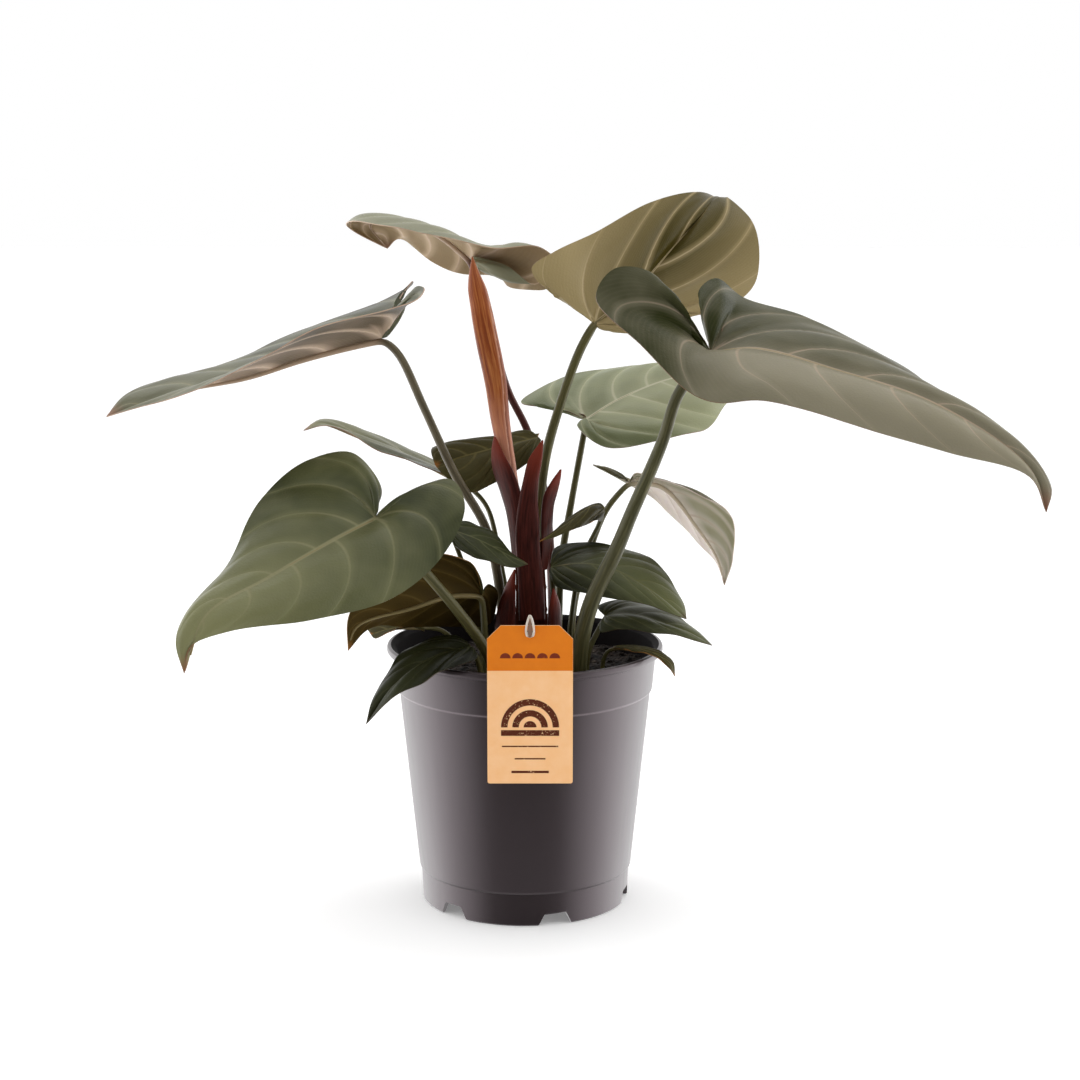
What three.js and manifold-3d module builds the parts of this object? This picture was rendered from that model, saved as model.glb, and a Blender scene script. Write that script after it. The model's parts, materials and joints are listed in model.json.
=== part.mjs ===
// A potted philodendron of the large-leaved kind: heart-shaped blades on long petioles round one crown
// with a rolled new leaf, in a 17 cm nursery pot with a hang tag.
// Millimetres, +Z up, the front at -Y. The origin is on the pot's axis, on the surface it stands on.

import * as THREE from 'three';
import { mergeVertices } from 'three/addons/utils/BufferGeometryUtils.js';
import Module from 'manifold-3d';

const wasm = await Module();
wasm.setup();

// Pot: injection-moulded, thin walled, with a rolled lip, a collar and a notched foot ring
const RIM_RADIUS = 85;
const POT_HEIGHT = 161;
const FOOT_RADIUS = 64;
const WALL = 1.6;
const SEAM_HEIGHT = 133;
const SEAM_RADIUS = 77.5;
const COLLAR_RADIUS = 78.7;
const COLLAR_TOP_RADIUS = 80.8;
const LIP_HEIGHT = 4.6;
const STEP_HEIGHT = 20;
const STEP_RADIUS = 66;
const STEP_ROUND = 2;
const EDGE_ROUND = 1.4;
const RIM_ROLL = 3;
const PLATE_HEIGHT = 9.4;
const PLATE_THICKNESS = 2.2;
const CENTRE_PAD_RADIUS = 45;
const PAD_FLARE = 4;
const FOOT_RING = 2.6;
const POT_SEGMENTS = 48;
const NOTCHES = 6;
const NOTCH_WIDTH = 22;
const NOTCH_TOP_WIDTH = 13;
const NOTCH_HEIGHT = 8;
const NOTCH_ROUND = 1.5;
const NOTCH_DEPTH = 14;
const FIRST_NOTCH_ANGLE = -73;
const DRAIN_HOLES = 6;
const DRAIN_RADIUS = 3.5;
const DRAIN_CIRCLE = 55.5;

// Soil: fills the pot to 15 mm below the rim, with a lumpy top
const SOIL_HEIGHT = 146;
const SOIL_LUMP = 1.6;
const SOIL_ROUND = 4;
const SOIL_RINGS = [60, 45, 30, 15, 0];
const GAP = 0.3;
const ROOT_CLEARANCE = 0.45;

// Tag: a printed card on a moulded plastic tie
const TAG_WIDTH = 50;
const TAG_HEIGHT = 95;
const TAG_THICKNESS = 0.8;
const TAG_CHAMFER = 8;
const TAG_CORNER = 1.5;
const TAG_TOP = 191;
const TAG_CENTRE_X = 3.5;
const TAG_HOLE_RADIUS = 2.4;
const TAG_HOLE_DROP = 5;
const TIE_RADIUS = 0.7;
const TIE_RING_HEIGHT = 168;
const TIE_LOOP_HEIGHT = 11;
const TIE_LOOP_HALF_WIDTH = 2.3;
const TIE_LEG_SPREAD = 1.1;

// Leaves: a blade is a thin sheet between its rib and the margin of each half
const BLADE_THICKNESS = 0.9;
const TRIM_STEP = 0.3;
const STALK_SIDES = 8;
const STEM_SIDES = 12;
const STEM_STEPS = 6;
const ROLL_SIDES = 10;
const ROLL_STEPS = 16;
const STALK_STEP = 14;
const FEWEST_STALK_STEPS = 5;
const LOBE_SHARE = 0.42;
const VEIN_BOW = 0.07;
const FULL_CAMBER_WIDTH = 30;
const ROWS = 14;
const COLUMNS = 3;

// Sheaths are stiffer than blades
const SHEATH_THICKNESS = 1.1;
const SHEATH_ROWS = 10;
const SHEATH_COLUMNS = 4;

const COLOURS = {
  bladeTop: 0x5f6650,
  bladeUnder: 0x8a7550,
  bladeLow: 0x3d4a33,
  petiole: 0x57583a,
  petioleRed: 0x5e2f2c,
  cataphyll: 0x4a1c1e,
  rolledLeaf: 0x9c5a35,
  pot: 0x4a4144,
  soil: 0x231b17,
  tag: 0xe08a3c,
  tie: 0xe8e4dc,
};

// Every leaf: the rib runs from the petiole to the tip, and each half's margin from beside the petiole,
// round its basal lobe, to near the tip. one is on the left of a leaf seen from above with its tip up.
const LEAVES = [
  {
    name: 'left_front',
    colour: COLOURS.bladeTop,
    rib: [[-86, -75, 252], [-109, -95, 243], [-143, -122, 227], [-176, -146, 210], [-187, -158, 180]],
    one: [[-85, -72, 256], [-84, -60, 268], [-102, -42, 286], [-125, -44, 282], [-152, -68, 263],
      [-171, -112, 227], [-188, -138, 210], [-192, -152, 196]],
    two: [[-83, -72, 255], [-66, -60, 266], [-43, -50, 271], [-35, -60, 257], [-48, -88, 231],
      [-76, -112, 212], [-120, -130, 204], [-164, -146, 201], [-184, -155, 194]],
    camber: 4,
    petiole: {
      path: [[-86, -75, 252], [-72, -73, 237], [-57, -68, 218], [-38, -58, 192], [-22, -48, 165],
        [-14, -43, 134]],
      radii: [2.8, 3.8],
    },
  },
  {
    name: 'right_front',
    colour: COLOURS.bladeTop,
    rib: [[108, -62, 347], [133, -68, 350], [178, -80, 339], [232, -95, 322], [284, -112, 288],
      [294, -116, 263]],
    one: [[105, -62, 353], [90, -60, 374], [73, -58, 393], [52, -62, 395], [41, -74, 379],
      [66, -92, 355], [93, -108, 330], [108, -114, 325], [133, -120, 327], [181, -124, 314],
      [237, -124, 298], [284, -118, 283]],
    two: [[114, -57, 352], [115, -46, 363], [103, -32, 378], [113, -22, 386], [131, -12, 374],
      [166, -18, 364], [203, -38, 347], [246, -70, 320], [284, -100, 296], [297, -112, 276]],
    camber: 5,
    petiole: {
      path: [[108, -62, 347], [100, -63, 338], [89, -62, 322], [81, -62, 296], [63, -55, 251],
        [55, -52, 230], [42, -46, 201], [37, -43, 185], [33, -39, 160], [33, -38, 134]],
      radii: [3.4, 3.7, 4.4, 5.2, 5.4],
    },
  },
  {
    name: 'far_left',
    colour: COLOURS.bladeTop,
    rib: [[-86, 0, 349], [-109, -3, 344], [-135, -6, 337], [-166, -10, 327], [-206, -14, 319],
      [-250, -20, 304]],
    one: [[-83, 5, 354], [-79, 16, 364], [-74, 27, 374], [-69, 37, 380], [-70, 46, 377], [-86, 54, 368],
      [-119, 57, 356], [-155, 50, 341], [-188, 34, 329], [-219, 12, 322], [-241, -8, 315]],
    two: [[-83, -5, 354], [-75, -15, 364], [-67, -26, 378], [-62, -33, 383], [-58, -40, 382], [-62, -47, 377],
      [-78, -55, 372], [-100, -58, 366], [-123, -58, 358], [-162, -48, 338], [-203, -34, 318],
      [-228, -26, 311]],
    camber: 2,
    petiole: {
      path: [[-86, 0, 349], [-76, -2, 340], [-61, -4, 308], [-42, -4, 266], [-24, -2, 234], [-16, 2, 199],
        [-13, 8, 160], [-13, 9, 134]],
      radii: [2.4, 3.4],
    },
  },
  {
    name: 'top_left',
    colour: COLOURS.bladeTop,
    rib: [[-34, 60, 392], [-53, 72, 406], [-77, 96, 413], [-101, 120, 410], [-90, 128, 394]],
    one: [[-32, 63, 390], [-20, 70, 388], [-6, 77, 386], [12, 82, 383], [19, 88, 378], [13, 94, 370],
      [-3, 98, 370], [-11, 102, 372], [-16, 106, 378], [-41, 108, 379], [-60, 114, 386], [-78, 122, 400],
      [-84, 126, 400]],
    two: [[-31, 57, 394], [-12, 50, 389], [6, 46, 378], [19, 48, 391], [9, 44, 400], [-18, 34, 400],
      [-47, 28, 408], [-80, 46, 412], [-111, 84, 414], [-113, 110, 408]],
    camber: 4,
    petiole: {
      path: [[-34, 60, 392], [-23, 62, 354], [-11, 62, 310], [2, 60, 283], [13, 56, 241], [17, 45, 184],
        [17, 38, 160], [16, 38, 134]],
      radii: [2, 3.2],
      colour: COLOURS.petioleRed,
    },
  },
  {
    name: 'top_right',
    colour: COLOURS.bladeUnder,
    rib: [[43, 30, 355], [71, 44, 377], [93, 62, 400], [119, 90, 422], [137, 135, 402], [140, 150, 384]],
    one: [[46, 31, 355], [68, 30, 349], [101, 30, 359], [121, 34, 362], [140, 44, 375], [146, 60, 390],
      [143, 78, 413], [129, 102, 428], [140, 128, 418], [146, 146, 395]],
    two: [[40, 28, 358], [32, 24, 366], [21, 20, 375], [12, 17, 379], [4, 14, 390], [17, 20, 399],
      [43, 38, 410], [78, 62, 427], [111, 92, 432], [127, 126, 422], [133, 146, 399]],
    camber: 3,
    petiole: {
      path: [[43, 30, 355], [34, 26, 339], [22, 18, 307], [13, 12, 275], [9, 10, 243], [7, 10, 207],
        [6, 11, 134]],
      radii: [2.8, 3.6],
    },
  },
  {
    name: 'middle_right',
    colour: COLOURS.bladeTop,
    rib: [[39, 70, 290], [59, 80, 301], [96, 98, 313], [123, 110, 313], [143, 118, 305]],
    one: [[36, 67, 289], [33, 58, 287], [51, 42, 276], [84, 42, 281], [114, 60, 285], [129, 92, 297]],
    two: [[37, 72, 293], [17, 84, 295], [-3, 100, 297], [13, 118, 306], [48, 130, 314], [85, 134, 318],
      [122, 130, 318]],
    camber: 3,
    petiole: {
      path: [[39, 70, 290], [33, 60, 259], [28, 50, 233], [23, 40, 205], [21, 32, 165], [21, 30, 134]],
      radii: [2, 2.8],
    },
  },
  {
    name: 'left_sliver',
    colour: COLOURS.bladeTop,
    rib: [[-35, 62, 248], [-67, 70, 263], [-106, 80, 277], [-134, 88, 285], [-143, 90, 280]],
    one: [[-34, 66, 248], [-29, 84, 249], [-63, 108, 258], [-102, 112, 275], [-132, 98, 286]],
    two: [[-34, 58, 250], [-26, 44, 251], [-53, 34, 261], [-91, 46, 274], [-126, 76, 285]],
    camber: 1,
    rows: 9,
    columns: 2,
    petiole: {
      path: [[-35, 62, 248], [-24, 56, 236], [-16, 44, 205], [-9, 32, 165], [-8, 29, 134]],
      radii: [1.5, 2.2],
    },
  },
  {
    name: 'middle_left',
    colour: COLOURS.bladeLow,
    rib: [[8, 30, 284], [-15, 26, 279], [-40, 20, 273], [-55, 14, 269]],
    one: [[9, 34, 286], [-6, 50, 281], [-32, 54, 275], [-53, 44, 276], [-58, 26, 277]],
    two: [[10, 26, 283], [3, 14, 272], [-18, 6, 260], [-33, 4, 254], [-48, 6, 263]],
    camber: 4,
    petiole: {
      path: [[8, 30, 284], [7, 30, 245], [2, 28, 195], [1, 26, 134]],
      radii: [1.8, 2.4],
    },
  },
  {
    name: 'behind_left_front',
    colour: COLOURS.bladeUnder,
    rib: [[-26, -24, 196], [-44, -34, 198], [-67, -46, 193], [-100, -52, 183], [-105, -52, 168]],
    one: [[-25, -20, 198], [-22, -16, 201], [-17, -11, 196], [-17, -8, 188], [-22, -4, 174], [-34, -6, 172],
      [-66, -18, 175], [-93, -42, 179]],
    two: [[-27, -27, 199], [-27, -32, 205], [-32, -42, 220], [-52, -52, 226], [-71, -58, 222],
      [-89, -60, 211], [-104, -56, 190]],
    camber: 2,
    petiole: {
      path: [[-26, -24, 196], [-25, -23, 185], [-24, -22, 168], [-24, -21, 134]],
      radii: [2, 2.6],
    },
  },
  {
    name: 'right_drooping',
    colour: COLOURS.bladeUnder,
    rib: [[65, 22, 258], [85, 17, 256], [106, 8, 232], [119, 6, 212], [123, 4, 196]],
    one: [[66, 20, 260], [68, 16, 264], [81, 4, 262], [108, -6, 254], [125, -10, 241], [128, -6, 228],
      [127, 0, 211]],
    two: [[65, 24, 259], [60, 28, 261], [42, 34, 266], [61, 38, 256], [77, 42, 246], [88, 40, 236],
      [103, 35, 223], [119, 20, 206]],
    camber: 2,
    petiole: {
      path: [[65, 22, 258], [51, 31, 239], [42, 35, 216], [35, 33, 196], [30, 28, 172], [29, 26, 134]],
      radii: [1.8, 2.4],
    },
  },
  {
    name: 'small_arched',
    colour: COLOURS.bladeLow,
    rib: [[49, 26, 240], [46, 21, 243], [40, 10, 244], [33, -2, 241], [23, -15, 236], [15, -22, 232],
      [9, -25, 229]],
    one: [[49, 28, 241], [47, 28, 243], [39, 18, 243], [32, 5, 240], [22, -10, 236], [14, -19, 231]],
    two: [[49, 24, 239], [47, 18, 234], [44, 9, 236], [37, -2, 235], [29, -13, 234], [18, -22, 231]],
    camber: 1,
    rows: 9,
    columns: 2,
    petiole: {
      path: [[49, 26, 240], [48, 26, 234], [45, 26, 228], [40, 26, 218], [35, 26, 206], [29, 21, 172],
        [27, 18, 134]],
      radii: [1.3, 2],
    },
  },
  {
    name: 'right_low',
    colour: COLOURS.bladeLow,
    rib: [[16, 6, 207], [31, 2, 210], [45, -3, 210], [60, -9, 206], [80, -17, 195], [98, -24, 181]],
    one: [[15, 2, 205], [19, -8, 198], [38, -16, 195], [55, -22, 193], [75, -26, 190], [91, -27, 184]],
    two: [[16, 9, 210], [19, 17, 217], [39, 23, 219], [66, 20, 215], [84, 9, 206], [92, 0, 196],
      [97, -12, 187]],
    camber: 2,
    petiole: {
      path: [[16, 6, 207], [18, 4, 189], [20, 0, 160], [20, -1, 134]],
      radii: [1.8, 2.4],
    },
  },
  {
    name: 'right_lower',
    colour: COLOURS.bladeLow,
    rib: [[49, -6, 179], [59, -10, 181], [71, -16, 181], [83, -22, 178], [98, -28, 174], [113, -34, 167]],
    one: [[47, -9, 177], [46, -15, 171], [57, -22, 174], [67, -27, 175], [79, -32, 174], [93, -35, 173],
      [104, -36, 170]],
    two: [[46, -2, 181], [45, 3, 183], [60, 12, 185], [72, 12, 184], [84, 4, 181], [96, -8, 177],
      [105, -22, 173]],
    camber: 2,
    rows: 9,
    columns: 2,
    petiole: {
      path: [[49, -6, 179], [46, -8, 172], [39, -12, 158], [37, -13, 134]],
      radii: [1.6, 2.2],
    },
  },
  {
    name: 'over_right_rim',
    colour: COLOURS.bladeLow,
    rib: [[54, -26, 164], [64, -33, 165], [73, -40, 165], [80, -44, 163], [87, -46, 159], [90, -46, 151]],
    one: [[54, -28, 164], [64, -39, 165], [73, -44, 164], [80, -47, 162], [87, -49, 156]],
    two: [[54, -24, 164], [64, -26, 165], [74, -32, 165], [82, -38, 164], [89, -43, 159]],
    camber: 0.5,
    rows: 9,
    columns: 2,
    petiole: {
      path: [[54, -26, 164], [49, -24, 160], [47, -21, 134]],
      radii: [1.2, 1.8],
    },
  },
  {
    name: 'over_front_rim',
    colour: COLOURS.bladeLow,
    rib: [[-32, -54, 171], [-55, -72, 168], [-75, -86, 156], [-92, -90, 133]],
    one: [[-34, -50, 173], [-46, -42, 175], [-69, -56, 170], [-82, -76, 157], [-89, -87, 145]],
    two: [[-30, -58, 170], [-28, -68, 167], [-44, -84, 165], [-57, -93, 159], [-74, -96, 152]],
    camber: 2,
    rows: 9,
    columns: 2,
    petiole: {
      path: [[-32, -54, 171], [-27, -50, 160], [-25, -47, 134]],
      radii: [1.6, 2.2],
    },
  },
  {
    name: 'behind_left_rim',
    colour: COLOURS.bladeLow,
    rib: [[-63, 24, 165], [-80, 32, 163], [-98, 40, 157]],
    one: [[-64, 28, 166], [-74, 40, 168], [-87, 46, 166], [-100, 46, 160]],
    two: [[-63, 22, 163], [-72, 26, 165], [-83, 30, 162], [-95, 36, 155]],
    camber: 1,
    rows: 9,
    columns: 2,
    petiole: {
      path: [[-63, 24, 165], [-51, 20, 164], [-40, 16, 150], [-38, 15, 134]],
      radii: [1.4, 1.8],
    },
  },
  {
    name: 'left_centre',
    colour: COLOURS.bladeLow,
    rib: [[-47, -34, 239], [-27, -32, 231], [-9, -30, 221], [2, -30, 216]],
    one: [[-46, -37, 236], [-39, -44, 228], [-21, -42, 220], [-6, -35, 215]],
    two: [[-46, -30, 241], [-33, -20, 240], [-18, -18, 232], [-8, -24, 222]],
    camber: 1,
    rows: 9,
    columns: 2,
    petiole: {
      path: [[-47, -34, 239], [-43, -18, 229], [-37, -8, 210], [-31, 0, 188], [-27, 4, 165], [-26, 5, 134]],
      radii: [1.4, 1.8],
    },
  },
];

// Crown: a short stem, the sheaths of past leaves round it, and the rolled new leaf on top. A sheath is a
// scoop whose section runs from its left margin round its keel to its right margin.
const STEM = { path: [[4, -6, 134], [4, -6, 180], [3, -6, 212], [0, -6, 232]], radii: [10, 10, 9] };
const ROLLED_LEAF = {
  path: [[0, -6, 233.2], [-6.5, -7, 252], [-10.5, -8, 276], [-14.5, -6, 300], [-17.5, -3, 324],
    [-22.5, 2, 348], [-27, 6, 371], [-30, 8, 385], [-31.5, 10, 397]],
  radii: [4.4, 4.8, 4.8, 5.2, 6.1, 6.8, 7.1, 6.8, 5.8, 0.4],
};
const SHEATHS = [
  {
    name: 'sheath_left',
    keel: [[-4, -14.5, 214], [-5.5, -15.5, 233], [-7, -15.8, 246], [-9.5, -16.2, 257], [-13.5, -15.5, 272],
      [-16.5, -14, 283], [-18, -12, 291]],
    left: [[-7, -11, 214], [-9, -10, 233], [-11, -9, 245], [-14.5, -8, 257], [-19, -9, 271],
      [-19.5, -11, 283]],
    right: [[-1, -16, 214], [-1, -17, 233], [-1.5, -17, 247], [-3, -17, 259], [-7, -17, 270],
      [-13, -15, 281]],
  },
  {
    name: 'sheath_middle',
    keel: [[4.5, -17.4, 179], [3, -19, 204], [2, -20.5, 223], [2, -21, 241], [3, -21, 254], [4.5, -20, 266],
      [7, -18, 275], [11, -12, 289]],
    left: [[-3, -15, 178], [-3.5, -17.5, 204], [-5, -19, 226], [-4.5, -19.4, 241], [-3, -19.4, 253],
      [-0.5, -18.5, 265], [3, -16, 278]],
    right: [[12, -14, 178], [11, -16, 204], [9, -17.5, 222], [8.5, -18, 241], [7.5, -18, 253], [8, -17, 265],
      [10, -15, 278]],
  },
  {
    name: 'sheath_right',
    keel: [[11.3, -12.8, 209], [12.5, -13.5, 222], [13, -13.5, 234], [14, -13.5, 245], [16, -11.5, 255],
      [19, -9, 263], [22, -6, 270]],
    left: [[9, -14.8, 209], [10.5, -14.6, 222], [10.5, -14.6, 234], [10.5, -14, 245], [12, -12.5, 255],
      [16.5, -10, 263]],
    right: [[13.3, -9.3, 209], [15.5, -9, 222], [16.5, -8.5, 236], [17.5, -8, 249], [19.5, -7, 256],
      [21.5, -6, 265]],
  },
  {
    name: 'sheath_low_left',
    keel: [[-12, -19, 142], [-12, -19, 166], [-11.5, -18.5, 181], [-10, -17.6, 192], [-8, -16.6, 202],
      [-6, -15.5, 210]],
    left: [[-18, -14, 142], [-18, -14, 166], [-17, -14, 181], [-14, -13.8, 192], [-10.5, -13.6, 201]],
    right: [[-6.5, -18.6, 142], [-6.5, -18.6, 166], [-6, -18, 182], [-6, -17.4, 192], [-6, -16.6, 201]],
  },
  {
    name: 'sheath_low_right',
    keel: [[18.5, -18, 142], [18.5, -18, 178], [18, -17, 188], [17.5, -14.5, 198]],
    left: [[15, -16.5, 142], [14.5, -16.5, 178], [15.5, -16, 188]],
    right: [[22, -12, 142], [22, -12, 178], [21, -12.5, 188]],
  },
];

// Small helpers

function vectors(points) {
  return points.map((p) => new THREE.Vector3(...p));
}

function curveThrough(points) {
  return new THREE.CatmullRomCurve3(vectors(points), false, 'centripetal');
}

function solidOf(geometry) {
  const bare = geometry.clone();
  bare.deleteAttribute('normal');
  bare.deleteAttribute('uv');
  const merged = mergeVertices(bare, 1e-4);
  return new wasm.Manifold(new wasm.Mesh({
    numProp: 3,
    vertProperties: Float32Array.from(merged.attributes.position.array),
    triVerts: Uint32Array.from(merged.index.array),
  }));
}

function geometryOf(solid) {
  const mesh = solid.getMesh();
  const geometry = new THREE.BufferGeometry();
  geometry.setAttribute('position', new THREE.Float32BufferAttribute(mesh.vertProperties, 3));
  geometry.setIndex(Array.from(mesh.triVerts));
  return geometry;
}

function largestPiece(solid) {
  return solid.decompose().reduce((best, piece) => (piece.volume() > best.volume() ? piece : best));
}

// Blades

// Rows of points across one half of a blade, from the rib (column 0) to the margin. The first rows fan
// from the petiole into the lobe; the rest leave the rib one after another, as its side veins do.
function halfRows(leaf, margin, rows, columns, upSign) {
  const ribCurve = curveThrough(leaf.rib);
  const marginCurve = curveThrough([...margin, leaf.rib[leaf.rib.length - 1]]);
  const grid = [];
  for (let i = 0; i <= rows; i++) {
    const along = i / rows;
    const start = ribCurve.getPointAt(Math.max(0, (along - LOBE_SHARE) / (1 - LOBE_SHARE)));
    const end = marginCurve.getPointAt(along);
    const forward = marginCurve.getTangentAt(along);
    const across = end.clone().sub(start);
    const normal = across.clone().cross(forward).normalize().multiplyScalar(upSign);
    const row = [];
    for (let j = 0; j <= columns; j++) {
      const v = j / columns;
      const arch = 4 * v * (1 - v);
      const swell = Math.min(1, across.length() / FULL_CAMBER_WIDTH);
      row.push(start.clone()
        .addScaledVector(across, v)
        .addScaledVector(forward, -VEIN_BOW * across.length() * arch)
        .addScaledVector(normal, leaf.camber * swell * arch));
    }
    grid.push(row);
  }
  return grid;
}

function bladeGeometry(leaf) {
  const rows = leaf.rows ?? ROWS;
  const columns = leaf.columns ?? COLUMNS;
  const first = halfRows(leaf, leaf.one, rows, columns, 1);
  const second = halfRows(leaf, leaf.two, rows, columns, -1);
  return sheetGeometry([first, second], BLADE_THICKNESS);
}

// One closed sheet over one or two grids of points, the second wound the other way from their shared edge.
// Both faces share one triangulation, so that they never cross.
function sheetGeometry(grids, thickness) {
  const points = [];
  const seen = new Map();
  const idOf = (point) => {
    const key = [point.x, point.y, point.z].map((c) => Math.round(c * 1000)).join();
    if (!seen.has(key)) {
      seen.set(key, points.length);
      points.push(point);
    }
    return seen.get(key);
  };
  const ids = grids.map((grid) => grid.map((row) => row.map(idOf)));
  const faces = [];
  const addFace = (a, b, c) => {
    if (a !== b && b !== c && c !== a) {
      faces.push([a, b, c]);
    }
  };
  ids.forEach((grid, side) => {
    for (let i = 0; i < grid.length - 1; i++) {
      for (let j = 0; j < grid[i].length - 1; j++) {
        const quad = [grid[i][j], grid[i][j + 1], grid[i + 1][j + 1], grid[i + 1][j]];
        const [a, b, c, d] = side === 0 ? quad : quad.reverse();
        addFace(a, b, c);
        addFace(a, c, d);
      }
    }
  });
  const normals = points.map(() => new THREE.Vector3());
  for (const [a, b, c] of faces) {
    const normal = points[b].clone().sub(points[a]).cross(points[c].clone().sub(points[a]));
    [a, b, c].forEach((id) => normals[id].add(normal));
  }
  const edges = new Map();
  for (const [a, b, c] of faces) {
    for (const [from, to] of [[a, b], [b, c], [c, a]]) {
      if (!edges.delete(`${to},${from}`)) {
        edges.set(`${from},${to}`, [from, to]);
      }
    }
  }
  const count = points.length;
  const positions = [];
  for (const side of [0.5, -0.5]) {
    points.forEach((point, id) => {
      const moved = point.clone().addScaledVector(normals[id].clone().normalize(), side * thickness);
      positions.push(moved.x, moved.y, moved.z);
    });
  }
  const index = [];
  for (const [a, b, c] of faces) {
    index.push(a, b, c, count + a, count + c, count + b);
  }
  for (const [from, to] of edges.values()) {
    index.push(from, count + from, to, to, count + from, count + to);
  }
  const geometry = new THREE.BufferGeometry();
  geometry.setAttribute('position', new THREE.Float32BufferAttribute(positions, 3));
  geometry.setIndex(index);
  return geometry;
}

// Stalks

// A round stalk along a path, whose radius runs through the given values from its first point to its last.
function stalkGeometry(path, radii, steps, sides = STALK_SIDES) {
  const curve = curveThrough(path);
  const ring = [];
  for (let i = 0; i < sides; i++) {
    const angle = (2 * Math.PI * i) / sides;
    ring.push(new THREE.Vector2(Math.cos(angle), Math.sin(angle)));
  }
  const section = new THREE.Shape(ring);
  const geometry = new THREE.ExtrudeGeometry(section, { steps, extrudePath: curve, bevelEnabled: false });
  const centres = curve.getSpacedPoints(steps);
  const position = geometry.attributes.position;
  const vertex = new THREE.Vector3();
  for (let i = 0; i < position.count; i++) {
    vertex.fromBufferAttribute(position, i);
    const nearest = centres.reduce((best, c, k) => (
      vertex.distanceToSquared(c) < vertex.distanceToSquared(centres[best]) ? k : best), 0);
    const place = (nearest / steps) * (radii.length - 1);
    const low = Math.min(radii.length - 2, Math.floor(place));
    const radius = THREE.MathUtils.lerp(radii[low], radii[low + 1], place - low);
    vertex.sub(centres[nearest]).multiplyScalar(radius).add(centres[nearest]);
    position.setXYZ(i, vertex.x, vertex.y, vertex.z);
  }
  return geometry;
}

// A petiole whose top is cut short by trim, and which is wider and deeper by clearance
function petioleGeometry(petiole, trim = 0, clearance = 0) {
  const curve = curveThrough(petiole.path);
  const length = curve.getLength();
  const steps = Math.max(FEWEST_STALK_STEPS, Math.round(length / STALK_STEP));
  const path = [];
  for (let i = 0; i <= steps; i++) {
    path.push(curve.getPointAt(THREE.MathUtils.lerp(trim / length, 1, i / steps)).toArray());
  }
  path[steps][2] -= clearance;
  return stalkGeometry(path, petiole.radii.map((radius) => radius + clearance), steps);
}

// The longest petiole that stays clear of its blade
function petioleBelow(petiole, blade) {
  let trim = 0;
  let geometry = petioleGeometry(petiole);
  while (solidOf(geometry).minGap(blade, 2 * GAP) < GAP) {
    trim += TRIM_STEP;
    geometry = petioleGeometry(petiole, trim);
  }
  return geometry;
}

// Sheaths

// Rows of points round a sheath, from its left margin to its right one, as half an oval through the keel
function sheathRows(sheath) {
  const tip = sheath.keel[sheath.keel.length - 1];
  const keel = curveThrough(sheath.keel);
  const margins = [sheath.left, sheath.right].map((margin) => curveThrough([...margin, tip]));
  const grid = [];
  for (let i = 0; i <= SHEATH_ROWS; i++) {
    const [left, right] = margins.map((curve) => curve.getPointAt(i / SHEATH_ROWS));
    const middle = left.clone().lerp(right, 0.5);
    const out = keel.getPointAt(i / SHEATH_ROWS).sub(middle);
    const half = right.sub(left).multiplyScalar(0.5);
    const row = [];
    for (let j = 0; j <= SHEATH_COLUMNS; j++) {
      const angle = Math.PI * (j / SHEATH_COLUMNS - 0.5);
      row.push(middle.clone().addScaledVector(half, Math.sin(angle)).addScaledVector(out, Math.cos(angle)));
    }
    grid.push(row);
  }
  return grid;
}

function sheathGeometry(sheath) {
  return sheetGeometry([sheathRows(sheath)], SHEATH_THICKNESS);
}

// Pot and soil

function turn(profile) {
  const points = profile.map(([r, z]) => new THREE.Vector2(r, z));
  const geometry = new THREE.LatheGeometry(points, POT_SEGMENTS);
  geometry.rotateX(Math.PI / 2);
  return geometry;
}

function potGeometry() {
  const innerFoot = FOOT_RADIUS - FOOT_RING;
  const plateTop = PLATE_HEIGHT + PLATE_THICKNESS;
  const lipBottom = POT_HEIGHT - LIP_HEIGHT;
  const profile = [
    [0, 0], [CENTRE_PAD_RADIUS, 0], [CENTRE_PAD_RADIUS + PAD_FLARE, PLATE_HEIGHT],
    [innerFoot - 0.6, PLATE_HEIGHT], [innerFoot, 0], [FOOT_RADIUS - 0.8, 0], [FOOT_RADIUS, 0.8],
    [STEP_RADIUS - 1.2, STEP_HEIGHT], [STEP_RADIUS, STEP_HEIGHT + STEP_ROUND], [SEAM_RADIUS, SEAM_HEIGHT],
    [COLLAR_RADIUS, SEAM_HEIGHT + EDGE_ROUND], [COLLAR_TOP_RADIUS, lipBottom],
    [RIM_RADIUS - 1.2, lipBottom + 0.2], [RIM_RADIUS, lipBottom + EDGE_ROUND],
    [RIM_RADIUS, POT_HEIGHT - EDGE_ROUND], [RIM_RADIUS - EDGE_ROUND, POT_HEIGHT],
    [RIM_RADIUS - RIM_ROLL, POT_HEIGHT], [COLLAR_TOP_RADIUS - WALL, POT_HEIGHT - LIP_HEIGHT / 2],
    [COLLAR_RADIUS - WALL, SEAM_HEIGHT + 2], [SEAM_RADIUS - WALL, SEAM_HEIGHT - 1],
    [STEP_RADIUS - WALL, STEP_HEIGHT + STEP_ROUND], [FOOT_RADIUS - WALL, plateTop],
    [CENTRE_PAD_RADIUS + PAD_FLARE - 1, plateTop], [CENTRE_PAD_RADIUS - WALL, PLATE_THICKNESS],
    [0, PLATE_THICKNESS],
  ];
  let pot = solidOf(turn(profile));
  for (let i = 0; i < NOTCHES; i++) {
    pot = pot.subtract(solidOf(notchCutter(FIRST_NOTCH_ANGLE + (360 / NOTCHES) * i)));
  }
  for (let i = 0; i < DRAIN_HOLES; i++) {
    pot = pot.subtract(solidOf(drainCutter(FIRST_NOTCH_ANGLE + (360 / DRAIN_HOLES) * (i + 0.5))));
  }
  return geometryOf(pot);
}

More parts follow.
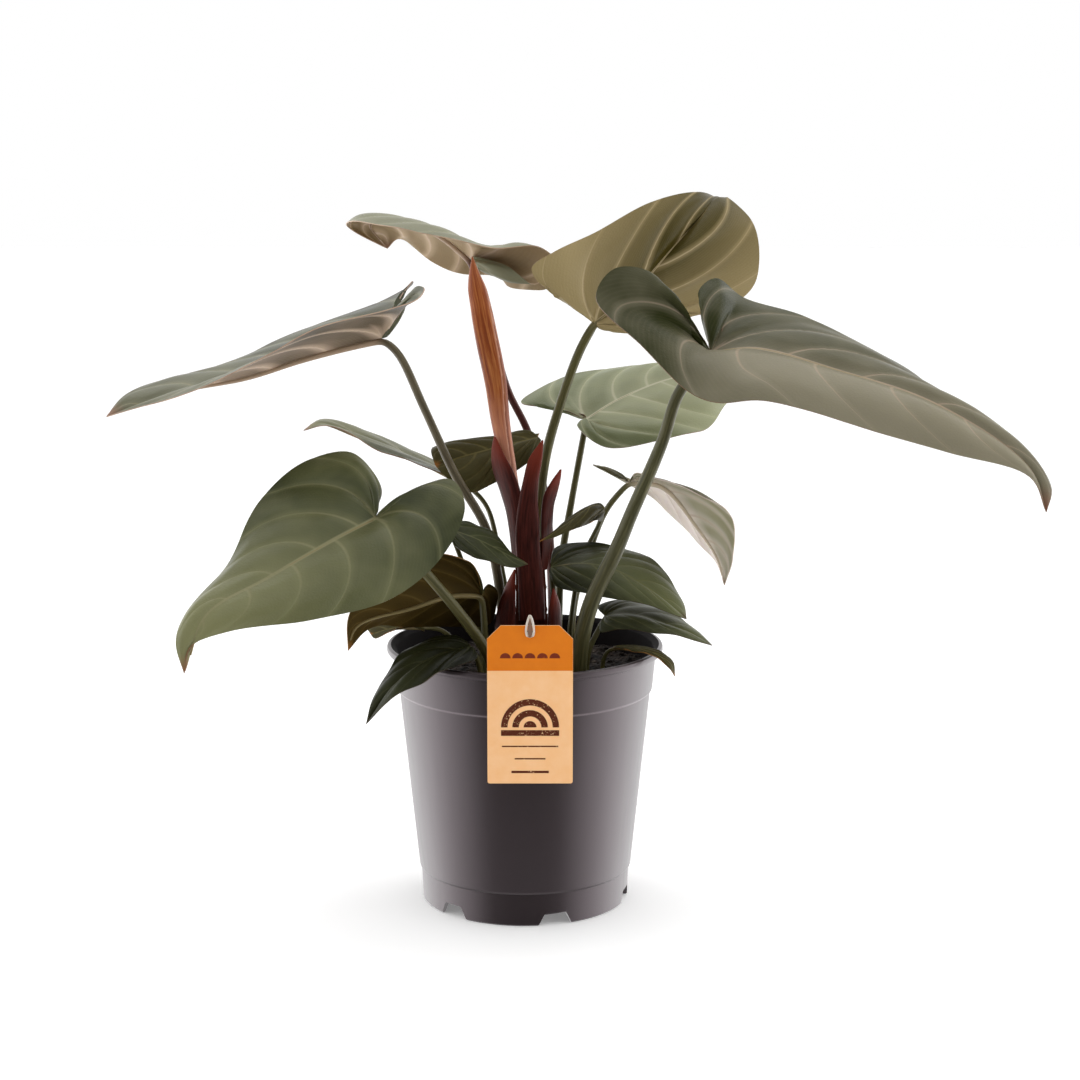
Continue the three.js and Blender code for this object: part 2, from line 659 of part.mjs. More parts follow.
// A round-shouldered wedge that goes through the foot ring at an angle in degrees
function notchCutter(angle) {
  const low = NOTCH_WIDTH / 2;
  const top = NOTCH_TOP_WIDTH / 2;
  const half = [
    [low, -1], [low - 1, NOTCH_ROUND], [top + 1, NOTCH_HEIGHT - 1], [top - NOTCH_ROUND, NOTCH_HEIGHT],
  ];
  const mirrored = half.map(([x, y]) => [-x, y]).reverse();
  const outline = new THREE.Shape([...half, ...mirrored].map(([x, y]) => new THREE.Vector2(x, y)));
  const geometry = new THREE.ExtrudeGeometry(outline, { depth: NOTCH_DEPTH, bevelEnabled: false });
  geometry.translate(0, 0, FOOT_RADIUS - 0.6 * NOTCH_DEPTH);
  geometry.rotateX(Math.PI / 2);
  geometry.rotateZ(THREE.MathUtils.degToRad(angle + 90));
  return geometry;
}

function drainCutter(angle) {
  const depth = 4 * PLATE_THICKNESS;
  const geometry = new THREE.CylinderGeometry(DRAIN_RADIUS, DRAIN_RADIUS, depth, 10);
  geometry.rotateX(Math.PI / 2);
  geometry.translate(DRAIN_CIRCLE, 0, PLATE_HEIGHT + PLATE_THICKNESS / 2);
  geometry.rotateZ(THREE.MathUtils.degToRad(angle));
  return geometry;
}

function lump(x, y) {
  return SOIL_LUMP * (Math.sin(x / 6.5) * Math.cos(y / 8) + 0.5 * Math.sin((x + 2 * y) / 5));
}

function soilGeometry(roots) {
  const side = WALL + ROOT_CLEARANCE;
  const plateTop = PLATE_HEIGHT + PLATE_THICKNESS + GAP;
  const rimShare = (SOIL_HEIGHT - SEAM_HEIGHT) / (POT_HEIGHT - LIP_HEIGHT - SEAM_HEIGHT);
  const topRadius = THREE.MathUtils.lerp(COLLAR_RADIUS, COLLAR_TOP_RADIUS, rimShare) - side - GAP;
  const profile = [
    [0, PLATE_THICKNESS + GAP], [CENTRE_PAD_RADIUS - side, PLATE_THICKNESS + GAP],
    [CENTRE_PAD_RADIUS + PAD_FLARE - 1 - ROOT_CLEARANCE, plateTop], [FOOT_RADIUS - side, plateTop],
    [STEP_RADIUS - side, STEP_HEIGHT + STEP_ROUND], [SEAM_RADIUS - side, SEAM_HEIGHT - 1],
    [topRadius, SOIL_HEIGHT - SOIL_ROUND / 2], [topRadius - SOIL_ROUND, SOIL_HEIGHT],
    ...SOIL_RINGS.map((radius) => [radius, SOIL_HEIGHT]),
  ];
  const geometry = turn(profile);
  const position = geometry.attributes.position;
  for (let i = 0; i < position.count; i++) {
    if (position.getZ(i) > SOIL_HEIGHT - 0.5) {
      position.setZ(i, SOIL_HEIGHT + lump(position.getX(i), position.getY(i)));
    }
  }
  const soil = solidOf(geometry);
  return geometryOf(roots.reduce((rest, root) => rest.subtract(root), soil));
}

// Tag and tie

function tagGeometry() {
  const half = TAG_WIDTH / 2;
  const outline = new THREE.Shape();
  outline.moveTo(-half, TAG_CORNER);
  outline.quadraticCurveTo(-half, 0, -half + TAG_CORNER, 0);
  outline.lineTo(half - TAG_CORNER, 0);
  outline.quadraticCurveTo(half, 0, half, TAG_CORNER);
  outline.lineTo(half, TAG_HEIGHT - TAG_CHAMFER);
  outline.lineTo(half - TAG_CHAMFER, TAG_HEIGHT);
  outline.lineTo(-half + TAG_CHAMFER, TAG_HEIGHT);
  outline.lineTo(-half, TAG_HEIGHT - TAG_CHAMFER);
  const hole = new THREE.Path();
  hole.absarc(0, TAG_HEIGHT - TAG_HOLE_DROP, TAG_HOLE_RADIUS, 0, 2 * Math.PI, true);
  outline.holes.push(hole);
  const plate = { depth: TAG_THICKNESS, bevelEnabled: false, curveSegments: 6 };
  const geometry = new THREE.ExtrudeGeometry(outline, plate);
  geometry.rotateX(Math.PI / 2);
  geometry.translate(TAG_CENTRE_X, -RIM_RADIUS - GAP, TAG_TOP - TAG_HEIGHT);
  return geometry;
}

// A teardrop loop in front of the tag, whose two legs pass back through the hole, and a tail from them to a
// ring round the stem
function tieGeometry() {
  const x = TAG_CENTRE_X;
  const cardY = -RIM_RADIUS - GAP - TAG_THICKNESS / 2;
  const hole = TAG_TOP - TAG_HOLE_DROP;
  const front = cardY - TAG_THICKNESS / 2 - TIE_RADIUS - GAP;
  const back = cardY + TAG_THICKNESS / 2 + 3 * TIE_RADIUS;
  const side = [
    [0.2, back + 1, hole - 1], [TIE_LEG_SPREAD, back, hole - 0.4], [TIE_LEG_SPREAD, cardY, hole],
    [TIE_LEG_SPREAD + 0.6, front, hole - 0.8], [TIE_LOOP_HALF_WIDTH, front, hole + 2],
    [TIE_LOOP_HALF_WIDTH * 0.6, front, hole + 0.7 * TIE_LOOP_HEIGHT],
  ];
  const path = [
    ...side.map(([across, y, z]) => [x - across, y, z]), [x, front, hole + TIE_LOOP_HEIGHT],
    ...side.map(([across, y, z]) => [x + across, y, z]).reverse(),
  ];
  const loop = solidOf(stalkGeometry(path, [TIE_RADIUS, TIE_RADIUS], 36, 6));
  const ringRadius = STEM.radii[0] + TIE_RADIUS + GAP;
  const [stemX, stemY] = STEM.path[1];
  const tailStart = [x, back + 0.8, hole - 1];
  const tailEnd = [stemX, stemY - ringRadius, TIE_RING_HEIGHT];
  const sag = tailStart.map((start, k) => (start + tailEnd[k]) / 2 - (k === 2 ? 1 : 0));
  const tail = solidOf(stalkGeometry([tailStart, sag, tailEnd], [TIE_RADIUS, TIE_RADIUS], 12, 6));
  const ring = new THREE.TorusGeometry(ringRadius, TIE_RADIUS, 6, 24);
  ring.translate(stemX, stemY, TIE_RING_HEIGHT);
  return geometryOf(loop.add(tail).add(solidOf(ring)));
}

// Assembly

const group = new THREE.Group();

function addPiece(name, geometry, color, roughness = 0.5) {
  const material = new THREE.MeshStandardMaterial({ color, roughness, metalness: 0, side: THREE.DoubleSide });
  const mesh = new THREE.Mesh(geometry, material);
  mesh.name = name;
  group.add(mesh);
}

const roots = [];

for (const leaf of LEAVES) {
  const petiole = petioleBelow(leaf.petiole, solidOf(bladeGeometry(leaf)));
  roots.push(solidOf(petioleGeometry(leaf.petiole, 0, ROOT_CLEARANCE)));
  addPiece(`blade_${leaf.name}`, bladeGeometry(leaf), leaf.colour);
  addPiece(`petiole_${leaf.name}`, petiole, leaf.petiole.colour ?? COLOURS.petiole);
}

const stemPath = STEM.path.map((p) => [...p]);
addPiece('crown_stem', stalkGeometry(stemPath, STEM.radii, STEM_STEPS, STEM_SIDES), COLOURS.cataphyll);
stemPath[0][2] -= ROOT_CLEARANCE;
const rootRadii = STEM.radii.map((radius) => radius + ROOT_CLEARANCE);
roots.push(solidOf(stalkGeometry(stemPath, rootRadii, STEM_STEPS, STEM_SIDES)));

const soilRoom = solidOf(soilGeometry([])).translate([0, 0, GAP]);
for (const sheath of SHEATHS) {
  const above = solidOf(sheathGeometry(sheath)).subtract(soilRoom);
  addPiece(sheath.name, geometryOf(largestPiece(above)), COLOURS.cataphyll);
}

const roll = stalkGeometry(ROLLED_LEAF.path, ROLLED_LEAF.radii, ROLL_STEPS, ROLL_SIDES);
addPiece('rolled_leaf', roll, COLOURS.rolledLeaf);
addPiece('pot', potGeometry(), COLOURS.pot, 0.45);
addPiece('soil', soilGeometry(roots), COLOURS.soil, 0.95);
addPiece('tag_card', tagGeometry(), COLOURS.tag, 0.6);
addPiece('tag_tie', tieGeometry(), COLOURS.tie, 0.4);

export default group;
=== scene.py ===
"""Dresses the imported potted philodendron: blades, stalks, crown, pot, soil and hang tag.

Every piece follows the same points and sizes as the solids, in millimetres, with finer relief and real
finishes.
"""

import json
import logging
import math
from collections.abc import Callable, Sequence
from dataclasses import dataclass
from enum import Enum
from functools import partial

import bpy
import numpy as np
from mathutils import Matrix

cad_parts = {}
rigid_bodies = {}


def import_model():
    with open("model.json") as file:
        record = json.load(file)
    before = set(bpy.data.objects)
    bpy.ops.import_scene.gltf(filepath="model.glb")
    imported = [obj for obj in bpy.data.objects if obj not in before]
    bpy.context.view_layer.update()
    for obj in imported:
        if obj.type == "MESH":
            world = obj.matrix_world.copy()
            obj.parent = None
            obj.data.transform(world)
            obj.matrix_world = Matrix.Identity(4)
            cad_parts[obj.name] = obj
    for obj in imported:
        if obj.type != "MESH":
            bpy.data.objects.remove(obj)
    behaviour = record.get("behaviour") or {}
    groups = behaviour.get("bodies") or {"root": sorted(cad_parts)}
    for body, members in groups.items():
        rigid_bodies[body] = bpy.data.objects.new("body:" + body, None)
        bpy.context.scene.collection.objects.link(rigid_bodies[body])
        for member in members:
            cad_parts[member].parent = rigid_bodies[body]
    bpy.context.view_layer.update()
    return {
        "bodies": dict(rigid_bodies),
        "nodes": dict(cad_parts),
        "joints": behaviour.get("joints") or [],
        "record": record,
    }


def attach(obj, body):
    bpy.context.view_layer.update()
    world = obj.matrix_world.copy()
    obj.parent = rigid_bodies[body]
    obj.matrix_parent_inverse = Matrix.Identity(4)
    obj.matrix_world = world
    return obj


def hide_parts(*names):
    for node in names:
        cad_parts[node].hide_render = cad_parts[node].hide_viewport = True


LOG = logging.getLogger("philodendron")

MM = 0.001
BODY = "root"
UPRIGHT = (math.pi / 2, 0, 0)
IN_PLACE = {"value": (0, 0, 0)}

Points = Sequence[tuple[float, float, float]]
AddNode = Callable[..., bpy.types.Node]

# Colour and node helpers


def linear(code: str) -> tuple[float, float, float, float]:
    """Turns an sRGB hex colour into the linear values that the shader sockets take.

    Args:
        code: Six hex digits with a leading hash.

    Returns:
        Linear red, green, blue and an alpha of one.
    """
    channels = [int(code[i:i + 2], 16) / 255 for i in (1, 3, 5)]
    straight = [c / 12.92 if c <= 0.04045 else ((c + 0.055) / 1.055) ** 2.4 for c in channels]
    return (*straight, 1.0)


def add_node(
    tree: bpy.types.NodeTree,
    kind: str,
    inputs: Sequence[object] | dict[str, object] = (),
    stops: Sequence[tuple[float, str]] = (),
    **settings: object,
) -> bpy.types.Node:
    """Adds one shader node with its settings, its inputs and its colour stops.

    Args:
        tree: The material's or world's node tree.
        kind: The node's type name, after "ShaderNode".
        inputs: Its inputs in order or by name: each a value, a hex colour, an output socket, or a node,
            which stands for its first output in use.
        stops: Place and hex colour of each stop, for a colour ramp.
        settings: Properties of the node itself.

    Returns:
        The new node.
    """
    node = tree.nodes.new(f"ShaderNode{kind}")
    for name, value in settings.items():
        setattr(node, name, value)
    if not isinstance(inputs, dict):
        in_use = [number for number, socket in enumerate(node.inputs) if socket.enabled]
        inputs = dict(zip(in_use, inputs))
    for key, value in inputs.items():
        if isinstance(value, bpy.types.Node):
            value = next(socket for socket in value.outputs if socket.enabled)
        if isinstance(value, bpy.types.NodeSocket):
            tree.links.new(value, node.inputs[key])
        else:
            node.inputs[key].default_value = linear(value) if isinstance(value, str) else value
    if stops:
        elements = node.color_ramp.elements
        while len(elements) < len(stops):
            elements.new(0.5)
        for element, (place, code) in zip(elements, stops):
            element.position = place
            element.color = linear(code)
    return node


def new_material(name: str) -> tuple[bpy.types.Material, AddNode]:
    """Makes an empty material.

    Args:
        name: The material's name.

    Returns:
        The material, and the function that adds a node to it.
    """
    material = bpy.data.materials.new(name)
    material.use_nodes = True
    material.node_tree.nodes.clear()
    return material, partial(add_node, material.node_tree)


def scale_for(size: float) -> float:
    """Gives the scale that a pattern on Object coordinates has for forms of a size in millimetres."""
    return 1 / (size * MM)


# Shape helpers


def unit(vectors: np.ndarray) -> np.ndarray:
    """Scales vectors along the last axis to a length of one."""
    return vectors / np.maximum(np.linalg.norm(vectors, axis=-1, keepdims=True), 1e-9)


def smooth_step(low: float, high: float, values: np.ndarray) -> np.ndarray:
    """Rises smoothly from 0 at low to 1 at high."""
    t = np.clip((values - low) / (high - low), 0, 1)
    return t * t * (3 - 2 * t)


def spread(values: Sequence[float], shares: np.ndarray) -> np.ndarray:
    """Spaces a few values evenly from 0 to 1 and reads between them at the shares."""
    return np.interp(shares, np.linspace(0, 1, len(values)), values)


def even_out(values: np.ndarray, rounds: int) -> None:
    """Smooths values along a path in place, apart from both ends."""
    for _ in range(rounds):
        values[1:-1] = 0.25 * values[:-2] + 0.5 * values[1:-1] + 0.25 * values[2:]


def lengths_along(path: np.ndarray) -> np.ndarray:
    """Gives the length from a path's start to each of its places."""
    return np.concatenate([[0.0], np.cumsum(np.linalg.norm(np.diff(path, axis=0), axis=1))])


class SmoothCurve:
    """A smooth curve through points, parametrised by its own length: the one that the solids follow."""

    SAMPLES = 40
    TANGENT_STEP = 0.004

    def __init__(self, points: Points) -> None:
        """Samples the curve finely.

        Args:
            points: The places in millimetres that it runs through.
        """
        knots = [np.array(p, dtype=float) for p in points]
        ends = [2 * knots[0] - knots[1], *knots, 2 * knots[-1] - knots[-2]]
        pieces = [self._piece(ends[i:i + 4]) for i in range(len(knots) - 1)]
        self.samples = np.vstack([*pieces, knots[-1][None]])
        self.lengths = lengths_along(self.samples)
        self.length = float(self.lengths[-1])

    def _piece(self, four: list[np.ndarray]) -> np.ndarray:
        """Samples one centripetal Catmull-Rom piece.

        Args:
            four: The point before the piece, its two ends, and the point after it.

        Returns:
            The samples from its first end up to just before its second.
        """
        before, first, second, after = four
        gaps = [max(1e-6, float(np.linalg.norm(b - a))) ** 0.5 for a, b in zip(four, four[1:])]
        chord = (second - first) / gaps[1]
        leave = (first - before) / gaps[0] - (second - before) / (gaps[0] + gaps[1]) + chord
        reach = chord - (after - first) / (gaps[1] + gaps[2]) + (after - second) / gaps[2]
        leave, reach = leave * gaps[1], reach * gaps[1]
        t = np.linspace(0, 1, self.SAMPLES, endpoint=False)[:, None]
        cubic = 2 * first - 2 * second + leave + reach
        square = 3 * second - 3 * first - 2 * leave - reach
        return cubic * t**3 + square * t**2 + leave * t + first

    def at(self, shares: np.ndarray) -> np.ndarray:
        """Gives the places at shares of the length, from 0 to 1."""
        wanted = np.clip(shares, 0, 1) * self.length
        return np.stack([np.interp(wanted, self.lengths, self.samples[:, k]) for k in range(3)], axis=-1)

    def tangent(self, shares: np.ndarray) -> np.ndarray:
        """Gives the unit directions at shares of the length."""
        step = self.TANGENT_STEP
        return unit(self.at(np.clip(shares + step, 0, 1)) - self.at(np.clip(shares - step, 0, 1)))


def activate(piece: bpy.types.Object) -> None:
    """Makes a piece the only selected object.

    Args:
        piece: The object to select.
    """
    bpy.ops.object.select_all(action="DESELECT")
    piece.select_set(True)
    bpy.context.view_layer.objects.active = piece


def add_piece(name: str, primitive: Callable[..., object], **settings: object) -> bpy.types.Object:
    """Adds a primitive with nothing else selected, and puts its place, turn and size into its mesh.

    Args:
        name: The piece's name.
        primitive: The operator that adds it.
        settings: The operator's settings.

    Returns:
        The new piece.
    """
    bpy.ops.object.select_all(action="DESELECT")
    primitive(**settings)
    piece = bpy.context.object
    piece.name = name
    piece.data.name = name
    bpy.ops.object.transform_apply(location=True, rotation=True, scale=True)
    return piece


def apply_modifier(piece: bpy.types.Object, kind: str, **settings: object) -> None:
    """Adds a modifier and applies it.

    Args:
        piece: The object that it works on.
        kind: The modifier's type.
        settings: Its properties.
    """
    activate(piece)
    modifier = piece.modifiers.new(kind.lower(), kind)
    for name, value in settings.items():
        setattr(modifier, name, value)
    bpy.ops.object.modifier_apply(modifier=modifier.name)


def edit_all(piece: bpy.types.Object, *steps: Callable[[], object]) -> None:
    """Runs edit-mode steps on a piece with all of it selected.

    Args:
        piece: The object to edit.
        steps: Calls made in edit mode, in order.
    """
    activate(piece)
    bpy.ops.object.mode_set(mode="EDIT")
    for step in steps:
        bpy.ops.mesh.select_all(action="SELECT")
        step()
    bpy.ops.object.mode_set(mode="OBJECT")


def edit_above(piece: bpy.types.Object, height: float, step: Callable[[], object]) -> None:
    """Runs an edit-mode step on the active piece with what lies above a height in metres selected.

    Args:
        piece: The object to edit, which is the active one.
        height: What lies above it is selected.
        step: The call made in edit mode.
    """
    mesh = piece.data
    for vertex in mesh.vertices:
        vertex.select = vertex.co.z > height
    for item in (*mesh.edges, *mesh.polygons):
        item.select = all(mesh.vertices[i].select for i in item.vertices)
    bpy.ops.object.mode_set(mode="EDIT")
    step()
    bpy.ops.object.mode_set(mode="OBJECT")


def merge_doubles() -> None:
    """Merges vertices that lie on each other, in edit mode."""
    bpy.ops.mesh.remove_doubles(threshold=2e-6)


def turn_outwards() -> None:
    """Points the normals of a closed piece outwards, in edit mode."""
    bpy.ops.mesh.normals_make_consistent(inside=False)


def grid_piece(name: str, across: int, along: int) -> tuple[bpy.types.Object, np.ndarray, np.ndarray]:
    """Adds a flat grid that is ready to be shaped.

    Args:
        name: The piece's name.
        across: Faces across it.
        along: Faces along it.

    Returns:
        The piece, and the column and row number of each of its vertices.
    """
    piece = add_piece(
        name, bpy.ops.mesh.primitive_grid_add, x_subdivisions=across, y_subdivisions=along, size=2,
    )
    flat = np.empty(len(piece.data.vertices) * 3)
    piece.data.vertices.foreach_get("co", flat)
    flat = flat.reshape(-1, 3)
    columns = np.rint((flat[:, 0] + 1) / 2 * across).astype(int)
    rows = np.rint((flat[:, 1] + 1) / 2 * along).astype(int)
    return piece, columns, rows


def set_places(piece: bpy.types.Object, places: np.ndarray) -> None:
    """Puts a piece's vertices at places given in millimetres."""
    piece.data.vertices.foreach_set("co", (places * MM).ravel())
    piece.data.update()


def set_attribute(piece: bpy.types.Object, name: str, values: np.ndarray) -> None:
    """Stores one number a vertex for the materials to read."""
    layer = piece.data.attributes.new(name, "FLOAT", "POINT")
    layer.data.foreach_set("value", values.astype(np.float32).ravel())


def face_corners(piece: bpy.types.Object) -> np.ndarray:
    """Lists the vertex at each face corner.

    Args:
        piece: The object whose faces are meant.

    Returns:
        A vertex number a corner, in the order of the UV map.
    """
    corners = np.empty(len(piece.data.loops), dtype=int)
    piece.data.loops.foreach_get("vertex_index", corners)
    return corners


def set_uv(piece: bpy.types.Object, u: np.ndarray, v: np.ndarray, name: str = "UVMap") -> None:
    """Writes and names a piece's UV map.

    Args:
        piece: The object.
        u: One value a face corner.
        v: The other value a face corner.
        name: The map's name.
    """
    layer = piece.data.uv_layers[0]
    layer.name = name
    layer.data.foreach_set("uv", np.stack([u, v], axis=1).ravel())


def smooth(piece: bpy.types.Object, angle: float = 50) -> None:
    """Shades a piece smooth, apart from edges sharper than an angle in degrees."""
    activate(piece)
    bpy.ops.object.shade_smooth_by_angle(angle=math.radians(angle))


def frames_along(path: np.ndarray) -> tuple[np.ndarray, np.ndarray, np.ndarray]:
    """Carries a frame along a path without twist.

    Args:
        path: The places along it.

    Returns:
        The tangent, side and top directions at each place.
    """
    tangents = unit(np.gradient(path, axis=0))
    helper = np.array([1.0, 0.0, 0.0]) if abs(tangents[0, 0]) < 0.8 else np.array([0.0, 1.0, 0.0])
    sides = np.empty_like(path)
    side = unit(np.cross(helper, tangents[0]))
    for i, tangent in enumerate(tangents):
        side = unit(side - tangent * np.dot(side, tangent))
        sides[i] = side
    return tangents, sides, np.cross(tangents, sides)


def tube_piece(
    name: str,
    path: np.ndarray,
    radii: np.ndarray,
    sides: int = 20,
    section: Callable[[np.ndarray, np.ndarray], np.ndarray] | None = None,
    datum: float = 0.0,
) -> bpy.types.Object:
    """Wraps a grid round a path as a closed stalk with domed ends.

    Args:
        name: The piece's name.
        path: Places along its middle, in millimetres.
        radii: The radius at each of them.
        sides: Faces round it.
        section: Gives the share of the radius for each angle and share of the length.
        datum: Length along the path at which the UV map's v is zero.

    Returns:
        The stalk, with its UV map running round it (u) and along it in millimetres (v).
    """
    cap_rings, dome = 4, 0.7
    turn = np.linspace(0, math.pi / 2, cap_rings, endpoint=False)
    tangents, *axes = frames_along(path)
    low = path[0] - tangents[0] * radii[0] * np.cos(turn)[:, None] * dome
    high = path[-1] + tangents[-1] * radii[-1] * np.cos(turn[::-1])[:, None] * dome
    middle = np.vstack([low, path, high])
    width = np.concatenate([radii[0] * np.sin(turn), radii, radii[-1] * np.sin(turn[::-1])])
    side, top = (np.pad(axis, ((cap_rings, cap_rings), (0, 0)), mode="edge") for axis in axes)
    count = len(middle) - 1
    piece, columns, rows = grid_piece(name, sides, count)
    angles = columns / sides * math.tau
    reach = width[rows]
    if section is not None:
        reach = reach * section(angles, rows / count)
    set_places(piece, middle[rows] + reach[:, None] * (
        np.cos(angles)[:, None] * side[rows] + np.sin(angles)[:, None] * top[rows]
    ))
    corners = face_corners(piece)
    set_uv(piece, columns[corners] / sides, lengths_along(middle)[rows[corners]] - datum)
    edit_all(piece, merge_doubles, turn_outwards)
    smooth(piece)
    return piece


def lathe_piece(name: str, profile: Sequence[tuple[float, float]], segments: int) -> bpy.types.Object:
    """Draws a closed turned shape, ring after ring, from a circle.

    Args:
        name: The piece's name.
        profile: Radius and height of each ring in millimetres, with both end rings filled.
        segments: Faces round it.

    Returns:
        The turned piece.
    """
    radius, height = profile[0]
    piece = add_piece(
        name, bpy.ops.mesh.primitive_circle_add, vertices=segments, radius=radius * MM,
        location=(0, 0, height * MM), fill_type="NGON",
    )
    bpy.ops.object.mode_set(mode="EDIT")
    bpy.ops.mesh.select_all(action="SELECT")
    for new_radius, new_height in profile[1:]:
        bpy.ops.mesh.extrude_edges_move(TRANSFORM_OT_translate=IN_PLACE)
        bpy.ops.transform.translate(value=(0, 0, (new_height - height) * MM))
        scale = new_radius / radius
        bpy.ops.transform.resize(value=(scale, scale, 1), center_override=(0, 0, new_height * MM))
        radius, height = new_radius, new_height
    bpy.ops.mesh.edge_face_add()
    bpy.ops.object.mode_set(mode="OBJECT")
    edit_all(piece, merge_doubles, turn_outwards)
    return piece


def cut_with(piece: bpy.types.Object, cutter: bpy.types.Object) -> None:
    """Cuts a piece with a cutter and deletes the cutter."""
    apply_modifier(piece, "BOOLEAN", operation="DIFFERENCE", object=cutter, solver="EXACT")
    bpy.data.objects.remove(cutter, do_unlink=True)


def dress(piece: bpy.types.Object, *materials: bpy.types.Material) -> None:
    """Gives a piece its materials.

    Args:
        piece: The object to dress.
        materials: One for each of its slots.
    """
    piece.data.materials.clear()
    for material in materials:
        piece.data.materials.append(material)


def hand_over(piece: bpy.types.Object, slot: str, *nodes: str) -> None:
    """Attaches a finished piece to the body and hides the solids that it replaces.

    Args:
        piece: The finished piece.
        slot: The record's material slot; not used.
        nodes: The solids that it replaces.
    """
    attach(piece, BODY)
    if nodes:
        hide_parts(*nodes)
    LOG.info("%s: %d faces", piece.name, len(piece.data.polygons))


# Finishes


class Face(Enum):
    """The two faces of a blade."""

    TOP = "top"
    UNDER = "under"


@dataclass(frozen=True)
class BladeFinish:
    """Living leaf skin: satin, waxy cuticle over a soft body that lets a little light through.

    Args:
        name: Finish name, used for its materials.
        top: Colour of the upper face.
        top_light: Its paler colour, for patches and bands, and for the painted light on its lobes, tip and
            one half.
        top_vein: Its veins.
        under: Colour of the lower face.
        under_light: Its paler colour, for patches and bands, and for the painted light on its lobes, tip and
            one half.
        under_vein: Its veins and midrib.
        edge: Colour of the thin margin.
        gloss: Roughness of the upper face.
        sheen: How strongly it mirrors.
        mottling: How strongly its paler patches show.
        band: How strongly the paler bands along the veins show, partly as a painted highlight.
        paler: How much of the paler colour its lobes and its tip take: partly their own paler tone, partly
            painted light where they are seen lighter.
        halves: How much of it each half takes beyond the lobe, as a painted sheen on the half turned to the
            light.
    """

    name: str
    top: str
    top_light: str
    top_vein: str
    under: str
    under_light: str
    under_vein: str
    edge: str
    gloss: float = 0.42
    sheen: float = 0.35
    mottling: float = 0.6
    band: float = 0.3
    paler: tuple[float, float] = (0.0, 0.55)
    halves: tuple[float, float] = (0.0, 0.0)

    def face(self, face: Face) -> bpy.types.Material:
        """Builds the veined skin of one face.

        Args:
            face: Which face it is for.

        Returns:
            The material.
        """
        top = face is Face.TOP
        base, light, vein = (
            (self.top, self.top_light, self.top_vein) if top
            else (self.under, self.under_light, self.under_vein)
        )
        material, add = new_material(f"leaf_cuticle_{self.name}_{face.value}")
        number, across, _ = add("SeparateXYZ", (add("UVMap", uv_map="veins"),)).outputs
        pitch, rib, tip, half = (
            add("Attribute", attribute_name=name).outputs["Fac"] for name in ("pitch", "rib", "tip", "half")
        )
        where = add("TexCoord").outputs["Object"]
        # Side veins: millimetres from the nearest one, which is 1.8 mm wide at the rib and narrows by half
        step = add("Math", (number, 0.5), operation="PINGPONG")
        away = add("Math", (step, pitch), operation="MULTIPLY")
        width = add("MapRange", (across, 0.0, 1.0, 1.0, 0.5))
        ratio = add("Math", (away, width), operation="DIVIDE")
        line = add("MapRange", (ratio, 1.8, 0.1, 0.0, 1.0), interpolation_type="SMOOTHSTEP")
        faded = add("MapRange", (across, 0.1, 1.0, 0.6, 0.12))
        drawn = add("Math", (line, faded), operation="MULTIPLY")
        midrib = add("MapRange", (rib, 1.0, 0.4, 0.0, 0.85), interpolation_type="SMOOTHSTEP")
        # A paler band lies along each vein, up to 9 mm to each side of it: partly the leaf's own paler tone,
        # partly a painted highlight along the quilted veins
        band = add("MapRange", (ratio, 9.0, 0.0, 0.0, self.band), interpolation_type="SMOOTHSTEP")
        # Fine veins: real ones are 0.2 mm wide and 0.6 mm apart, drawn four times as coarse to show
        finer = add("Math", (number, 13.0), operation="MULTIPLY")
        fine = add("Math", (finer, 0.5), operation="PINGPONG")
        hair = add("MapRange", (fine, 0.3, 0.0, 0.0, 0.03))
        # Broad patches, and a grain of cells drawn coarse enough to show
        patches = add("TexNoise", {"Vector": where, "Scale": scale_for(50), "Detail": 3.0})
        grain = add("TexNoise", {"Vector": where, "Scale": scale_for(1.25), "Detail": 2.0})
        mottled = add("MapRange", (patches, 0.4, 0.7, 0.0, self.mottling * (1 if top else 0.4)))
        # It pales from the lobe to the tip, partly its own tone and partly painted light, and beyond the
        # lobe each half by its own share, as a painted sheen on the half turned to the light
        start, end = self.paler if top else (0.5 * share for share in self.paler)
        tone_and_painted_light = add("MapRange", (number, 1.5, 7.0, start, end))
        painted_sheen_half = add("MapRange", (half, -0.2, 0.2, *self.halves))
        beyond = add("MapRange", (number, 1.4, 3.2, 0.0, painted_sheen_half))
        colour: object = base
        for amount, shade in (
            (tone_and_painted_light, light), (beyond, light), (mottled, light), (band, light), (hair, vein), (drawn, vein),
            (midrib, vein), (tip, self.edge),
        ):
            colour = add("Mix", (amount, colour, shade), data_type="RGBA")
        # Relief: veins are sunk above and raised below
        sunk = add("Math", (line, -0.5 if top else 0.9, grain), operation="MULTIPLY_ADD")
        height = add("Math", (fine, 0.1 if top else -0.1, sunk), operation="MULTIPLY_ADD")
        bump = add("Bump", {"Strength": 0.35, "Distance": 0.5 * MM, "Height": height})
        rough = self.gloss if top else self.gloss + 0.08
        gloss = add("MapRange", (patches, 0.3, 0.7, rough - 0.06, rough + 0.08))
        skin = add("BsdfPrincipled", {
            "Base Color": colour, "Roughness": gloss, "IOR": 1.42, "Specular IOR Level": self.sheen,
            "Normal": bump, "Subsurface Weight": 0.08, "Subsurface Radius": (0.4, 0.5, 0.2),
            "Subsurface Scale": MM,
        })
        add("OutputMaterial", (skin,))
        return material

    def margin(self) -> bpy.types.Material:
        """Builds the thin, slightly clear edge of the blade.

        Returns:
            The material.
        """
        material, add = new_material(f"leaf_margin_{self.name}")
        where = add("TexCoord").outputs["Object"]
        change = add("TexNoise", {"Vector": where, "Scale": scale_for(16.67), "Detail": 2.0})
        colour = add("Mix", (change, self.edge, self.under_light), data_type="RGBA")
        skin = add("BsdfPrincipled", {
            "Base Color": colour, "Roughness": 0.4, "IOR": 1.45, "Specular IOR Level": 0.35,
        })
        add("OutputMaterial", (skin,))
        return material


